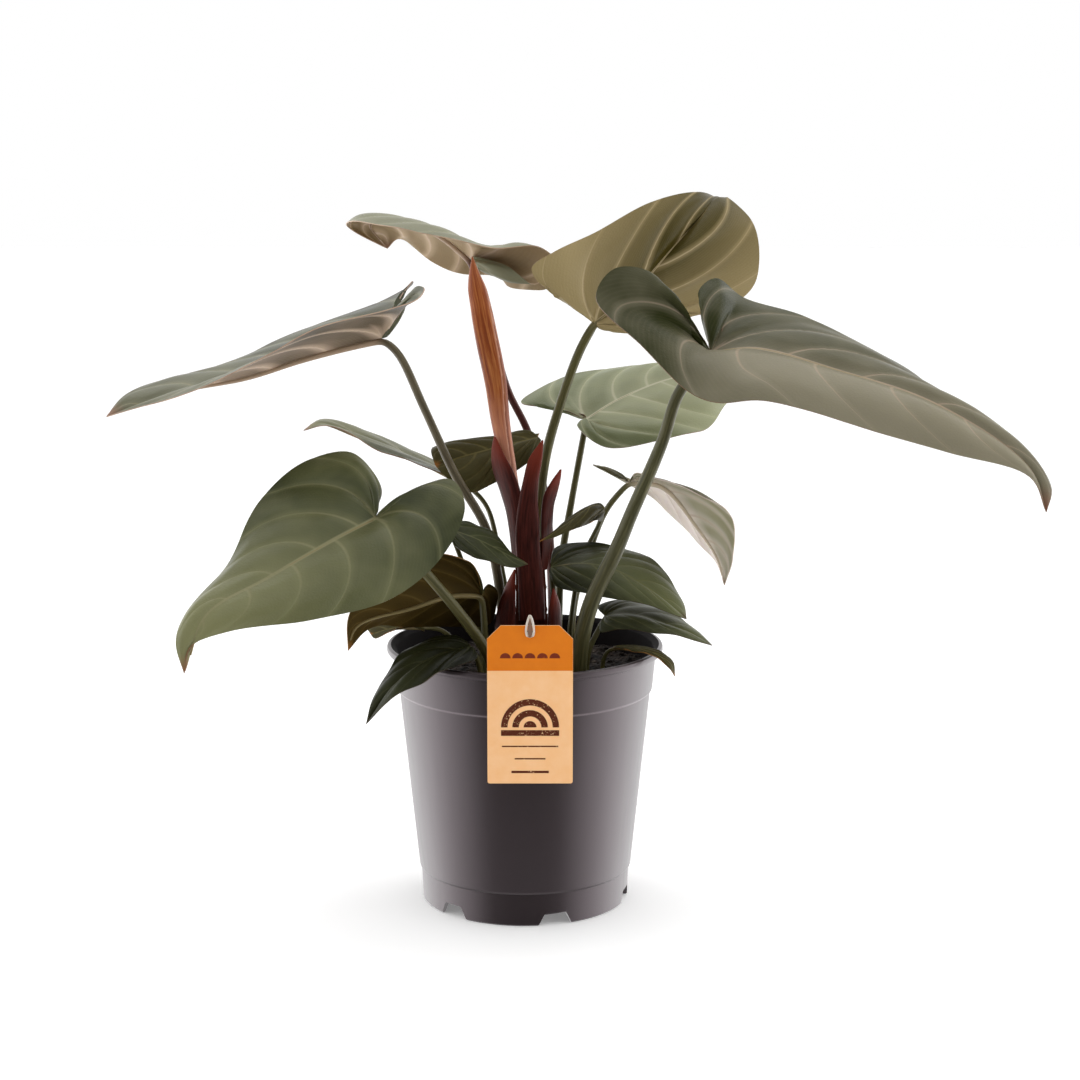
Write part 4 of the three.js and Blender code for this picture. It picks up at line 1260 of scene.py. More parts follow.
LEAVES = (
    Leaf(
        name="left_front",
        rib=((-86, -75, 252), (-109, -95, 243), (-143, -122, 227), (-176, -146, 210), (-187, -158, 180)),
        one=((-85, -72, 256), (-84, -60, 268), (-102, -42, 286), (-125, -44, 282), (-152, -68, 263),
            (-171, -112, 227), (-188, -138, 210), (-192, -152, 196)),
        two=((-83, -72, 255), (-66, -60, 266), (-43, -50, 271), (-35, -60, 257), (-48, -88, 231),
            (-76, -112, 212), (-120, -130, 204), (-164, -146, 201), (-184, -155, 194)),
        camber=4,
        stalk=((-86, -75, 252), (-72, -73, 237), (-57, -68, 218), (-38, -58, 192), (-22, -48, 165),
            (-14, -43, 134)),
        radii=(2.8, 3.8),
        skin=Skin.OLIVE,
        stem=Stem.OLIVE,
        slot="leaf_top",
    ),
    Leaf(
        name="right_front",
        rib=((108, -62, 347), (133, -68, 350), (178, -80, 339), (232, -95, 322), (284, -112, 288),
            (294, -116, 263)),
        one=((105, -62, 353), (90, -60, 374), (73, -58, 393), (52, -62, 395), (41, -74, 379),
            (66, -92, 355), (93, -108, 330), (108, -114, 325), (133, -120, 327), (181, -124, 314),
            (237, -124, 298), (284, -118, 283)),
        two=((114, -57, 352), (115, -46, 363), (103, -32, 378), (113, -22, 386), (131, -12, 374),
            (166, -18, 364), (203, -38, 347), (246, -70, 320), (284, -100, 296), (297, -112, 276)),
        camber=5,
        stalk=((108, -62, 347), (100, -63, 338), (89, -62, 322), (81, -62, 296), (63, -55, 251),
            (55, -52, 230), (42, -46, 201), (37, -43, 185), (33, -39, 160), (33, -38, 134)),
        radii=(3.4, 3.7, 4.4, 5.2, 5.4),
        skin=Skin.GREY_GREEN,
        stem=Stem.PALE,
        slot="leaf_top",
    ),
    Leaf(
        name="far_left",
        rib=((-86, 0, 349), (-109, -3, 344), (-135, -6, 337), (-166, -10, 327), (-206, -14, 319),
            (-250, -20, 304)),
        one=((-83, 5, 354), (-79, 16, 364), (-74, 27, 374), (-69, 37, 380), (-70, 46, 377), (-86, 54, 368),
            (-119, 57, 356), (-155, 50, 341), (-188, 34, 329), (-219, 12, 322), (-241, -8, 315)),
        two=((-83, -5, 354), (-75, -15, 364), (-67, -26, 378), (-62, -33, 383), (-58, -40, 382),
            (-62, -47, 377), (-78, -55, 372), (-100, -58, 366), (-123, -58, 358), (-162, -48, 338),
            (-203, -34, 318), (-228, -26, 311)),
        camber=2,
        stalk=((-86, 0, 349), (-76, -2, 340), (-61, -4, 308), (-42, -4, 266), (-24, -2, 234),
            (-16, 2, 199), (-13, 8, 160), (-13, 9, 134)),
        radii=(2.4, 3.4),
        skin=Skin.DUSK,
        stem=Stem.BROWN,
        slot="leaf_top",
    ),
    Leaf(
        name="top_left",
        rib=((-34, 60, 392), (-53, 72, 406), (-77, 96, 413), (-101, 120, 410), (-90, 128, 394)),
        one=((-32, 63, 390), (-20, 70, 388), (-6, 77, 386), (12, 82, 383), (19, 88, 378), (13, 94, 370),
            (-3, 98, 370), (-11, 102, 372), (-16, 106, 378), (-41, 108, 379), (-60, 114, 386),
            (-78, 122, 400), (-84, 126, 400)),
        two=((-31, 57, 394), (-12, 50, 389), (6, 46, 378), (19, 48, 391), (9, 44, 400), (-18, 34, 400),
            (-47, 28, 408), (-80, 46, 412), (-111, 84, 414), (-113, 110, 408)),
        camber=4,
        stalk=((-34, 60, 392), (-23, 62, 354), (-11, 62, 310), (2, 60, 283), (13, 56, 241), (17, 45, 184),
            (17, 38, 160), (16, 38, 134)),
        radii=(2, 3.2),
        skin=Skin.PALE,
        stem=Stem.RED,
        slot="leaf_top",
    ),
    Leaf(
        name="top_right",
        rib=((43, 30, 355), (71, 44, 377), (93, 62, 400), (119, 90, 422), (137, 135, 402),
            (140, 150, 384)),
        one=((46, 31, 355), (68, 30, 349), (101, 30, 359), (121, 34, 362), (140, 44, 375), (146, 60, 390),
            (143, 78, 413), (129, 102, 428), (140, 128, 418), (146, 146, 395)),
        two=((40, 28, 358), (32, 24, 366), (21, 20, 375), (12, 17, 379), (4, 14, 390), (17, 20, 399),
            (43, 38, 410), (78, 62, 427), (111, 92, 432), (127, 126, 422), (133, 146, 399)),
        camber=3,
        stalk=((43, 30, 355), (34, 26, 339), (22, 18, 307), (13, 12, 275), (9, 10, 243), (7, 10, 207),
            (6, 11, 134)),
        radii=(2.8, 3.6),
        skin=Skin.COPPER,
        slot="leaf_underside",
        relief=2.2,
    ),
    Leaf(
        name="middle_right",
        rib=((39, 70, 290), (59, 80, 301), (96, 98, 313), (123, 110, 313), (143, 118, 305)),
        one=((36, 67, 289), (33, 58, 287), (51, 42, 276), (84, 42, 281), (114, 60, 285), (129, 92, 297)),
        two=((37, 72, 293), (17, 84, 295), (-3, 100, 297), (13, 118, 306), (48, 130, 314), (85, 134, 318),
            (122, 130, 318)),
        camber=3,
        stalk=((39, 70, 290), (33, 60, 259), (28, 50, 233), (23, 40, 205), (21, 32, 165), (21, 30, 134)),
        radii=(2, 2.8),
        skin=Skin.FRESH,
        slot="leaf_top",
    ),
    Leaf(
        name="left_sliver",
        rib=((-35, 62, 248), (-67, 70, 263), (-106, 80, 277), (-134, 88, 285), (-143, 90, 280)),
        one=((-34, 66, 248), (-29, 84, 249), (-63, 108, 258), (-102, 112, 275), (-132, 98, 286)),
        two=((-34, 58, 250), (-26, 44, 251), (-53, 34, 261), (-91, 46, 274), (-126, 76, 285)),
        camber=1,
        stalk=((-35, 62, 248), (-24, 56, 236), (-16, 44, 205), (-9, 32, 165), (-8, 29, 134)),
        radii=(1.5, 2.2),
        skin=Skin.OLIVE,
        slot="leaf_top",
        small=True,
    ),
    Leaf(
        name="middle_left",
        rib=((8, 30, 284), (-15, 26, 279), (-40, 20, 273), (-55, 14, 269)),
        one=((9, 34, 286), (-6, 50, 281), (-32, 54, 275), (-53, 44, 276), (-58, 26, 277)),
        two=((10, 26, 283), (3, 14, 272), (-18, 6, 260), (-33, 4, 254), (-48, 6, 263)),
        camber=4,
        stalk=((8, 30, 284), (7, 30, 245), (2, 28, 195), (1, 26, 134)),
        radii=(1.8, 2.4),
        skin=Skin.SHADE,
    ),
    Leaf(
        name="behind_left_front",
        rib=((-26, -24, 196), (-44, -34, 198), (-67, -46, 193), (-100, -52, 183), (-105, -52, 168)),
        one=((-25, -20, 198), (-22, -16, 201), (-17, -11, 196), (-17, -8, 188), (-22, -4, 174),
            (-34, -6, 172), (-66, -18, 175), (-93, -42, 179)),
        two=((-27, -27, 199), (-27, -32, 205), (-32, -42, 220), (-52, -52, 226), (-71, -58, 222),
            (-89, -60, 211), (-104, -56, 190)),
        camber=2,
        stalk=((-26, -24, 196), (-25, -23, 185), (-24, -22, 168), (-24, -21, 134)),
        radii=(2, 2.6),
        relief=0.8,
        skin=Skin.SHADE,
        slot="leaf_underside",
    ),
    Leaf(
        name="right_drooping",
        rib=((65, 22, 258), (85, 17, 256), (106, 8, 232), (119, 6, 212), (123, 4, 196)),
        one=((66, 20, 260), (68, 16, 264), (81, 4, 262), (108, -6, 254), (125, -10, 241), (128, -6, 228),
            (127, 0, 211)),
        two=((65, 24, 259), (60, 28, 261), (42, 34, 266), (61, 38, 256), (77, 42, 246), (88, 40, 236),
            (103, 35, 223), (119, 20, 206)),
        camber=2,
        stalk=((65, 22, 258), (51, 31, 239), (42, 35, 216), (35, 33, 196), (30, 28, 172), (29, 26, 134)),
        radii=(1.8, 2.4),
        skin=Skin.BLUSH,
        stem=Stem.BLUSH,
        slot="leaf_underside",
    ),
    Leaf(
        name="small_arched",
        rib=((49, 26, 240), (46, 21, 243), (40, 10, 244), (33, -2, 241), (23, -15, 236), (15, -22, 232),
            (9, -25, 229)),
        one=((49, 28, 241), (47, 28, 243), (39, 18, 243), (32, 5, 240), (22, -10, 236), (14, -19, 231)),
        two=((49, 24, 239), (47, 18, 234), (44, 9, 236), (37, -2, 235), (29, -13, 234), (18, -22, 231)),
        camber=1,
        stalk=((49, 26, 240), (48, 26, 234), (45, 26, 228), (40, 26, 218), (35, 26, 206), (29, 21, 172),
            (27, 18, 134)),
        radii=(1.3, 2),
        skin=Skin.SHADE,
        small=True,
    ),
    Leaf(
        name="right_low",
        rib=((16, 6, 207), (31, 2, 210), (45, -3, 210), (60, -9, 206), (80, -17, 195), (98, -24, 181)),
        one=((15, 2, 205), (19, -8, 198), (38, -16, 195), (55, -22, 193), (75, -26, 190), (91, -27, 184)),
        two=((16, 9, 210), (19, 17, 217), (39, 23, 219), (66, 20, 215), (84, 9, 206), (92, 0, 196),
            (97, -12, 187)),
        camber=2,
        stalk=((16, 6, 207), (18, 4, 189), (20, 0, 160), (20, -1, 134)),
        radii=(1.8, 2.4),
        relief=0.8,
        skin=Skin.DEEP,
    ),
    Leaf(
        name="right_lower",
        rib=((49, -6, 179), (59, -10, 181), (71, -16, 181), (83, -22, 178), (98, -28, 174),
            (113, -34, 167)),
        one=((47, -9, 177), (46, -15, 171), (57, -22, 174), (67, -27, 175), (79, -32, 174),
            (93, -35, 173), (104, -36, 170)),
        two=((46, -2, 181), (45, 3, 183), (60, 12, 185), (72, 12, 184), (84, 4, 181), (96, -8, 177),
            (105, -22, 173)),
        camber=2,
        stalk=((49, -6, 179), (46, -8, 172), (39, -12, 158), (37, -13, 134)),
        radii=(1.6, 2.2),
        relief=0.8,
        skin=Skin.DEEP,
        small=True,
    ),
    Leaf(
        name="over_right_rim",
        rib=((54, -26, 164), (64, -33, 165), (73, -40, 165), (80, -44, 163), (87, -46, 159),
            (90, -46, 151)),
        one=((54, -28, 164), (64, -39, 165), (73, -44, 164), (80, -47, 162), (87, -49, 156)),
        two=((54, -24, 164), (64, -26, 165), (74, -32, 165), (82, -38, 164), (89, -43, 159)),
        camber=0.5,
        stalk=((54, -26, 164), (49, -24, 160), (47, -21, 134)),
        radii=(1.2, 1.8),
        skin=Skin.SHADE,
        small=True,
    ),
    Leaf(
        name="over_front_rim",
        rib=((-32, -54, 171), (-55, -72, 168), (-75, -86, 156), (-92, -90, 133)),
        one=((-34, -50, 173), (-46, -42, 175), (-69, -56, 170), (-82, -76, 157), (-89, -87, 145)),
        two=((-30, -58, 170), (-28, -68, 167), (-44, -84, 165), (-57, -93, 159), (-74, -96, 152)),
        camber=2,
        stalk=((-32, -54, 171), (-27, -50, 160), (-25, -47, 134)),
        radii=(1.6, 2.2),
        skin=Skin.NIGHT,
        small=True,
    ),
    Leaf(
        name="behind_left_rim",
        rib=((-63, 24, 165), (-80, 32, 163), (-98, 40, 157)),
        one=((-64, 28, 166), (-74, 40, 168), (-87, 46, 166), (-100, 46, 160)),
        two=((-63, 22, 163), (-72, 26, 165), (-83, 30, 162), (-95, 36, 155)),
        camber=1,
        stalk=((-63, 24, 165), (-51, 20, 164), (-40, 16, 150), (-38, 15, 134)),
        radii=(1.4, 1.8),
        skin=Skin.SHADE,
        small=True,
    ),
    Leaf(
        name="left_centre",
        rib=((-47, -34, 239), (-27, -32, 231), (-9, -30, 221), (2, -30, 216)),
        one=((-46, -37, 236), (-39, -44, 228), (-21, -42, 220), (-6, -35, 215)),
        two=((-46, -30, 241), (-33, -20, 240), (-18, -18, 232), (-8, -24, 222)),
        camber=1,
        stalk=((-47, -34, 239), (-43, -18, 229), (-37, -8, 210), (-31, 0, 188), (-27, 4, 165),
            (-26, 5, 134)),
        radii=(1.4, 1.8),
        relief=0.8,
        skin=Skin.MOSS,
        small=True,
    ),
)


@dataclass
class Sheath:
    """One sheath of a past leaf: a scoop round the crown, from its left margin round its keel to its right.

    Args:
        name: The solid that it stands for.
        keel: Places along the middle of its back, from its foot to its tip.
        left: Places along its left margin.
        right: Places along its right margin.
    """

    name: str
    keel: Points
    left: Points
    right: Points

    ROWS = 90
    COLUMNS = 24
    THICKNESS = 1.0
    EDGE = 0.25

    def build(self, skin: bpy.types.Material) -> None:
        """Makes and dresses the sheath.

        Args:
            skin: Its material.
        """
        along = np.linspace(0, 1, self.ROWS + 1)
        keel = SmoothCurve(self.keel)
        left, right = (
            SmoothCurve([*margin, self.keel[-1]]).at(along)[:, None] for margin in (self.left, self.right)
        )
        middle = (left + right) / 2
        out = keel.at(along)[:, None] - middle
        across = np.linspace(-1, 1, self.COLUMNS + 1)[None, :, None]
        angle = across * math.pi / 2
        sheet = middle + (right - left) / 2 * np.sin(angle) + out * np.cos(angle)
        piece, columns, rows = grid_piece(f"{self.name}_skin", self.COLUMNS, self.ROWS)
        set_places(piece, sheet[rows, columns])
        set_attribute(piece, "tip", 0.8 * smooth_step(0.66, 1.0, along[rows]))
        corners = face_corners(piece)
        set_uv(piece, along[rows[corners]] * keel.length, across[0, columns[corners], 0], "veins")
        edit_all(piece, merge_doubles)
        apply_modifier(piece, "SOLIDIFY", thickness=self.THICKNESS * MM, offset=0.0)
        apply_modifier(piece, "BEVEL", width=self.EDGE * MM, segments=2, limit_method="ANGLE")
        smooth(piece, 60)
        dress(piece, skin)
        hand_over(piece, "sheath_maroon", self.name)


SHEATHS = (
    Sheath(
        name="sheath_left",
        keel=((-4, -14.5, 214), (-5.5, -15.5, 233), (-7, -15.8, 246), (-9.5, -16.2, 257),
            (-13.5, -15.5, 272), (-16.5, -14, 283), (-18, -12, 291)),
        left=((-7, -11, 214), (-9, -10, 233), (-11, -9, 245), (-14.5, -8, 257), (-19, -9, 271),
            (-19.5, -11, 283)),
        right=((-1, -16, 214), (-1, -17, 233), (-1.5, -17, 247), (-3, -17, 259), (-7, -17, 270),
            (-13, -15, 281)),
    ),
    Sheath(
        name="sheath_middle",
        keel=((4.5, -17.4, 179), (3, -19, 204), (2, -20.5, 223), (2, -21, 241), (3, -21, 254),
            (4.5, -20, 266), (7, -18, 275), (11, -12, 289)),
        left=((-3, -15, 178), (-3.5, -17.5, 204), (-5, -19, 226), (-4.5, -19.4, 241), (-3, -19.4, 253),
            (-0.5, -18.5, 265), (3, -16, 278)),
        right=((12, -14, 178), (11, -16, 204), (9, -17.5, 222), (8.5, -18, 241), (7.5, -18, 253),
            (8, -17, 265), (10, -15, 278)),
    ),
    Sheath(
        name="sheath_right",
        keel=((11.3, -12.8, 209), (12.5, -13.5, 222), (13, -13.5, 234), (14, -13.5, 245), (16, -11.5, 255),
            (19, -9, 263), (22, -6, 270)),
        left=((9, -14.8, 209), (10.5, -14.6, 222), (10.5, -14.6, 234), (10.5, -14, 245), (12, -12.5, 255),
            (16.5, -10, 263)),
        right=((13.3, -9.3, 209), (15.5, -9, 222), (16.5, -8.5, 236), (17.5, -8, 249), (19.5, -7, 256),
            (21.5, -6, 265)),
    ),
    Sheath(
        name="sheath_low_left",
        keel=((-12, -19, 142), (-12, -19, 166), (-11.5, -18.5, 181), (-10, -17.6, 192), (-8, -16.6, 202),
            (-6, -15.5, 210)),
        left=((-18, -14, 142), (-18, -14, 166), (-17, -14, 181), (-14, -13.8, 192), (-10.5, -13.6, 201)),
        right=((-6.5, -18.6, 142), (-6.5, -18.6, 166), (-6, -18, 182), (-6, -17.4, 192), (-6, -16.6, 201)),
    ),
    Sheath(
        name="sheath_low_right",
        keel=((18.5, -18, 142), (18.5, -18, 178), (18, -17, 188), (17.5, -14.5, 198)),
        left=((15, -16.5, 142), (14.5, -16.5, 178), (15.5, -16, 188)),
        right=((22, -12, 142), (22, -12, 178), (21, -12.5, 188)),
    ),
)


@dataclass
class Crown:
    """The crown: a ringed stem, the sheaths round it, and the rolled new leaf on top."""

    stem_path: Points = ((4, -6, 134), (4, -6, 180), (3, -6, 212), (0, -6, 232))
    stem_radii: Sequence[float] = (10, 10, 9)
    roll_path: Points = (
        (0, -6, 233.2), (-6.5, -7, 252), (-10.5, -8, 276), (-14.5, -6, 300), (-17.5, -3, 324),
        (-22.5, 2, 348), (-27, 6, 371), (-30, 8, 385), (-31.5, 10, 397),
    )
    roll_radii: Sequence[float] = (4.4, 4.8, 4.8, 5.2, 6.1, 6.8, 7.1, 6.8, 5.8, 0.4)
    scar_spacing: float = 14

    FLATNESS = 0.68
    SEAM_START = 0.3
    SEAM_TURN = 1.1
    OVERLAP = 0.1
    RIDGE = 0.5
    RIDGE_WIDTH = 1.2

    def stem(self, skin: bpy.types.Material) -> None:
        """Models the stem with a ridge at each leaf scar.

        Args:
            skin: Its material.
        """
        curve = SmoothCurve(self.stem_path)
        share = np.linspace(0, 1, 90)
        past_scar = (share * curve.length) % self.scar_spacing - self.scar_spacing / 2
        ridge = np.exp(-((past_scar / self.RIDGE_WIDTH) ** 2))
        radii = spread(self.stem_radii, share) - self.RIDGE + self.RIDGE * ridge
        piece = tube_piece("stem_skin", curve.at(share), radii, 40, datum=2 * curve.length)
        dress(piece, skin)
        hand_over(piece, "sheath_maroon", "crown_stem")

    def roll(self) -> None:
        """Models the rolled leaf: flattened, with its free margin as a raised line that winds round it."""
        curve = SmoothCurve(self.roll_path)
        share = np.linspace(0, 1, 160)
        radii = spread(self.roll_radii, share)
        even_out(radii, 12)
        piece = tube_piece("new_leaf_rolled", curve.at(share), radii, 96, self._wrap)
        turn = self.SEAM_TURN / math.tau / curve.length
        dress(piece, NewLeafFinish(self.SEAM_START / math.tau, turn).build())
        hand_over(piece, "rolled_leaf_copper", "rolled_leaf")

    def _wrap(self, angles: np.ndarray, share: np.ndarray) -> np.ndarray:
        """Gives the flattened spiral section of a rolled blade, turning slowly along it.

        Args:
            angles: Angles round it.
            share: Shares of its length.

        Returns:
            The share of the radius for each.
        """
        oval = 1 / np.hypot(np.cos(angles) / self.FLATNESS, np.sin(angles))
        past = (angles - self.SEAM_START - self.SEAM_TURN * share) % math.tau
        return oval * (1 - self.OVERLAP / 2 + self.OVERLAP * past / math.tau)

    def build(self) -> None:
        """Makes the stem, the sheaths and the rolled leaf."""
        maroon = SheathFinish().build()
        self.stem(StalkFinish("crown", "#2a0e0a", "#4c2a1e", "#2a0e0a", 0.9, 0.0).build())
        for sheath in SHEATHS:
            sheath.build(maroon)
        self.roll()


@dataclass
class Pot:
    """The pot: thin walled, with a rolled lip, a collar, a recessed base and a notched foot ring."""

    rim_radius: float = 85
    height: float = 161
    foot_radius: float = 64
    wall: float = 1.6
    seam_height: float = 133
    seam_radius: float = 77.5
    collar_radius: float = 78.7
    collar_top_radius: float = 80.8
    lip_height: float = 4.6
    step_height: float = 20
    step_radius: float = 66
    plate_height: float = 9.4
    plate_thickness: float = 2.2
    pad_radius: float = 45
    segments: int = 160
    notches: int = 6
    notch_width: float = 22
    notch_top_width: float = 13
    notch_height: float = 8
    notch_depth: float = 14
    notch_round: float = 1.5
    first_notch: float = -73
    drain_radius: float = 3.5
    drain_circle: float = 55.5
    drain_depth: float = 8

    def profile(self) -> list[tuple[float, float]]:
        """Lists the rings of the section, from the middle of the base round the lip and back inside.

        Returns:
            The radius and height of each ring.
        """
        lip = self.height - self.lip_height
        plate_top = self.plate_height + self.plate_thickness
        inner_foot = self.foot_radius - 2.6
        return [
            (self.pad_radius, 0), (self.pad_radius + 4, self.plate_height),
            (inner_foot - 0.6, self.plate_height), (inner_foot, 0), (self.foot_radius - 0.8, 0),
            (self.foot_radius, 0.8), (self.step_radius - 1.2, self.step_height),
            (self.step_radius - 0.3, self.step_height + 0.9), (self.step_radius, self.step_height + 2),
            (self.seam_radius, self.seam_height), (self.seam_radius + 0.9, self.seam_height + 0.3),
            (self.collar_radius, self.seam_height + 1.0), (self.collar_radius + 0.1, self.seam_height + 1.8),
            (self.collar_top_radius, lip - 0.2), (self.rim_radius - 1.6, lip),
            (self.rim_radius - 0.6, lip + 0.4), (self.rim_radius, lip + 1.4),
            (self.rim_radius, self.height - 1.6), (self.rim_radius - 0.4, self.height - 0.6),
            (self.rim_radius - 1.4, self.height), (self.rim_radius - 3, self.height),
            (self.rim_radius - 4.4, self.height - 0.8),
            (self.collar_top_radius - self.wall, self.height - 2.4),
            (self.collar_radius - self.wall, self.seam_height + 2),
            (self.seam_radius - self.wall, self.seam_height - 1),
            (self.step_radius - self.wall, self.step_height + 2),
            (self.foot_radius - self.wall + 0.2, plate_top), (self.pad_radius + 3, plate_top),
            (self.pad_radius - 1.6, self.plate_thickness),
        ]

    def notch(self, angle: float) -> bpy.types.Object:
        """Makes a round-shouldered wedge through the foot ring.

        Args:
            angle: Where it is round the pot, in degrees.

        Returns:
            The cutter.
        """
        cutter = add_piece(
            "notch", bpy.ops.mesh.primitive_cube_add, size=1,
            location=(self.foot_radius * MM, 0, (self.notch_height / 2 - 0.5) * MM),
            scale=(self.notch_depth * MM, self.notch_width * MM, (self.notch_height + 1) * MM),
        )
        narrow = partial(
            bpy.ops.transform.resize, value=(1, self.notch_top_width / self.notch_width, 1),
            center_override=(self.foot_radius * MM, 0, self.notch_height * MM),
        )
        edit_above(cutter, 0.9 * self.notch_height * MM, narrow)
        cutter.rotation_euler = (0, 0, math.radians(angle))
        bpy.ops.object.transform_apply(location=False, rotation=True, scale=False)
        apply_modifier(cutter, "BEVEL", width=self.notch_round * MM, segments=3, limit_method="ANGLE")
        return cutter

    def drain(self, angle: float) -> bpy.types.Object:
        """Makes a round cutter through the base plate.

        Args:
            angle: Where it is round the pot, in degrees.

        Returns:
            The cutter.
        """
        turn = math.radians(angle)
        place = (
            self.drain_circle * math.cos(turn) * MM, self.drain_circle * math.sin(turn) * MM,
            (self.plate_height + self.plate_thickness / 2) * MM,
        )
        return add_piece(
            "drain", bpy.ops.mesh.primitive_cylinder_add, vertices=32, radius=self.drain_radius * MM,
            depth=self.drain_depth * MM, location=place,
        )

    def build(self) -> None:
        """Makes and dresses the pot."""
        piece = lathe_piece("pot_shell", self.profile(), self.segments)
        step = 360 / self.notches
        for i in range(self.notches):
            cut_with(piece, self.notch(self.first_notch + step * i))
            cut_with(piece, self.drain(self.first_notch + step * (i + 0.5)))
        smooth(piece, 32)
        dress(piece, PotPlasticFinish().build())
        hand_over(piece, "pot_plastic", "pot")


@dataclass
class PottingSoil:
    """The soil: a lumpy surface with loose crumbs, inside the pot."""

    height: float = 146
    radius: float = 77.6
    shoulder: float = 0.95
    foot: float = 135
    lump: float = 1.6
    wall_gap: float = 2.2
    edge_drop: float = 2.0
    crumbs: int = 420
    crumb_reach: float = 0.93
    crumb_lengths: tuple[float, float] = (0.8, 2.6)

    def level(self, x: np.ndarray, y: np.ndarray) -> np.ndarray:
        """Gives the height of the lumpy surface, as in the solid, with finer clods on it.

        Args:
            x: Places across.
            y: Places in depth.

        Returns:
            The height at each place.
        """
        broad = np.sin(x / 6.5) * np.cos(y / 8) + 0.5 * np.sin((x + 2 * y) / 5)
        clods = 0.35 * np.sin(x * 0.9 + 1.3 * np.sin(y * 0.7)) * np.cos(y * 1.1 + np.sin(x * 0.5))
        return self.height + self.lump * broad + clods

    def surface(self) -> bpy.types.Object:
        """Models the surface and its skirt down the wall as one closed piece.

        Returns:
            The soil body.
        """
        count = 150
        piece, columns, rows = grid_piece("soil_surface", count, count)
        x = columns / count * 2 - 1
        y = rows / count * 2 - 1
        # A square grid drawn out to a round disc, whose last rings turn down along the wall
        disc_x = x * np.sqrt(1 - y * y / 2)
        disc_y = y * np.sqrt(1 - x * x / 2)
        far = np.hypot(disc_x, disc_y)
        down = smooth_step(self.shoulder, 1.0, far)
        inside = far / self.shoulder * self.radius
        radius = np.where(far < self.shoulder, inside, self.radius - self.wall_gap * down)
        scale = radius / np.maximum(far, 1e-6)
        px, py = disc_x * scale, disc_y * scale
        top = self.level(px, py) - self.edge_drop * smooth_step(0.8, 1.0, far / self.shoulder)
        set_places(piece, np.stack([px, py, top + (self.foot - top) * down], axis=1))
        activate(piece)
        bpy.ops.object.mode_set(mode="EDIT")
        bpy.ops.mesh.select_all(action="DESELECT")
        bpy.ops.mesh.select_non_manifold()
        bpy.ops.mesh.edge_face_add()
        bpy.ops.object.mode_set(mode="OBJECT")
        smooth(piece, 60)
        return piece

    def crumb_pile(self) -> bpy.types.Object:
        """Scatters crumbs of peat and bark over the surface as one piece.

        Returns:
            The joined crumbs.
        """
        chance = np.random.default_rng(7)
        model = add_piece("crumb", bpy.ops.mesh.primitive_ico_sphere_add, subdivisions=1, radius=1.0)
        corners = np.array([v.co for v in model.data.vertices])
        faces = np.array([p.vertices for p in model.data.polygons])
        bpy.data.objects.remove(model, do_unlink=True)
        places, joined = [], []
        for i in range(self.crumbs):
            angle = chance.uniform(0, math.tau)
            far = self.radius * self.crumb_reach * math.sqrt(chance.uniform())
            x, y = far * math.cos(angle), far * math.sin(angle)
            length = chance.uniform(*self.crumb_lengths)
            size = length * np.array([1.0, chance.uniform(0.5, 1.0), chance.uniform(0.35, 0.7)])
            turn = chance.uniform(0, math.pi)
            cosine, sine = math.cos(turn), math.sin(turn)
            spin = np.array([[cosine, -sine, 0], [sine, cosine, 0], [0, 0, 1]])
            rough = corners * chance.uniform(0.8, 1.15, size=(len(corners), 1))
            centre = np.array([x, y, float(self.level(np.array(x), np.array(y))) + 0.2])
            places.append((rough * size) @ spin.T + centre)
            joined.append(faces + i * len(corners))
        mesh = bpy.data.meshes.new("soil_crumbs")
        mesh.from_pydata((np.vstack(places) * MM).tolist(), [], np.vstack(joined).tolist())
        piece = bpy.data.objects.new("soil_crumbs", mesh)
        bpy.context.collection.objects.link(piece)
        smooth(piece, 30)
        return piece

    def build(self) -> None:
        """Makes and dresses the soil."""
        peat = PeatFinish().build()
        body = self.surface()
        dress(body, peat)
        hand_over(body, "potting_soil", "soil")
        crumbs = self.crumb_pile()
        dress(crumbs, peat)
        hand_over(crumbs, "potting_soil")


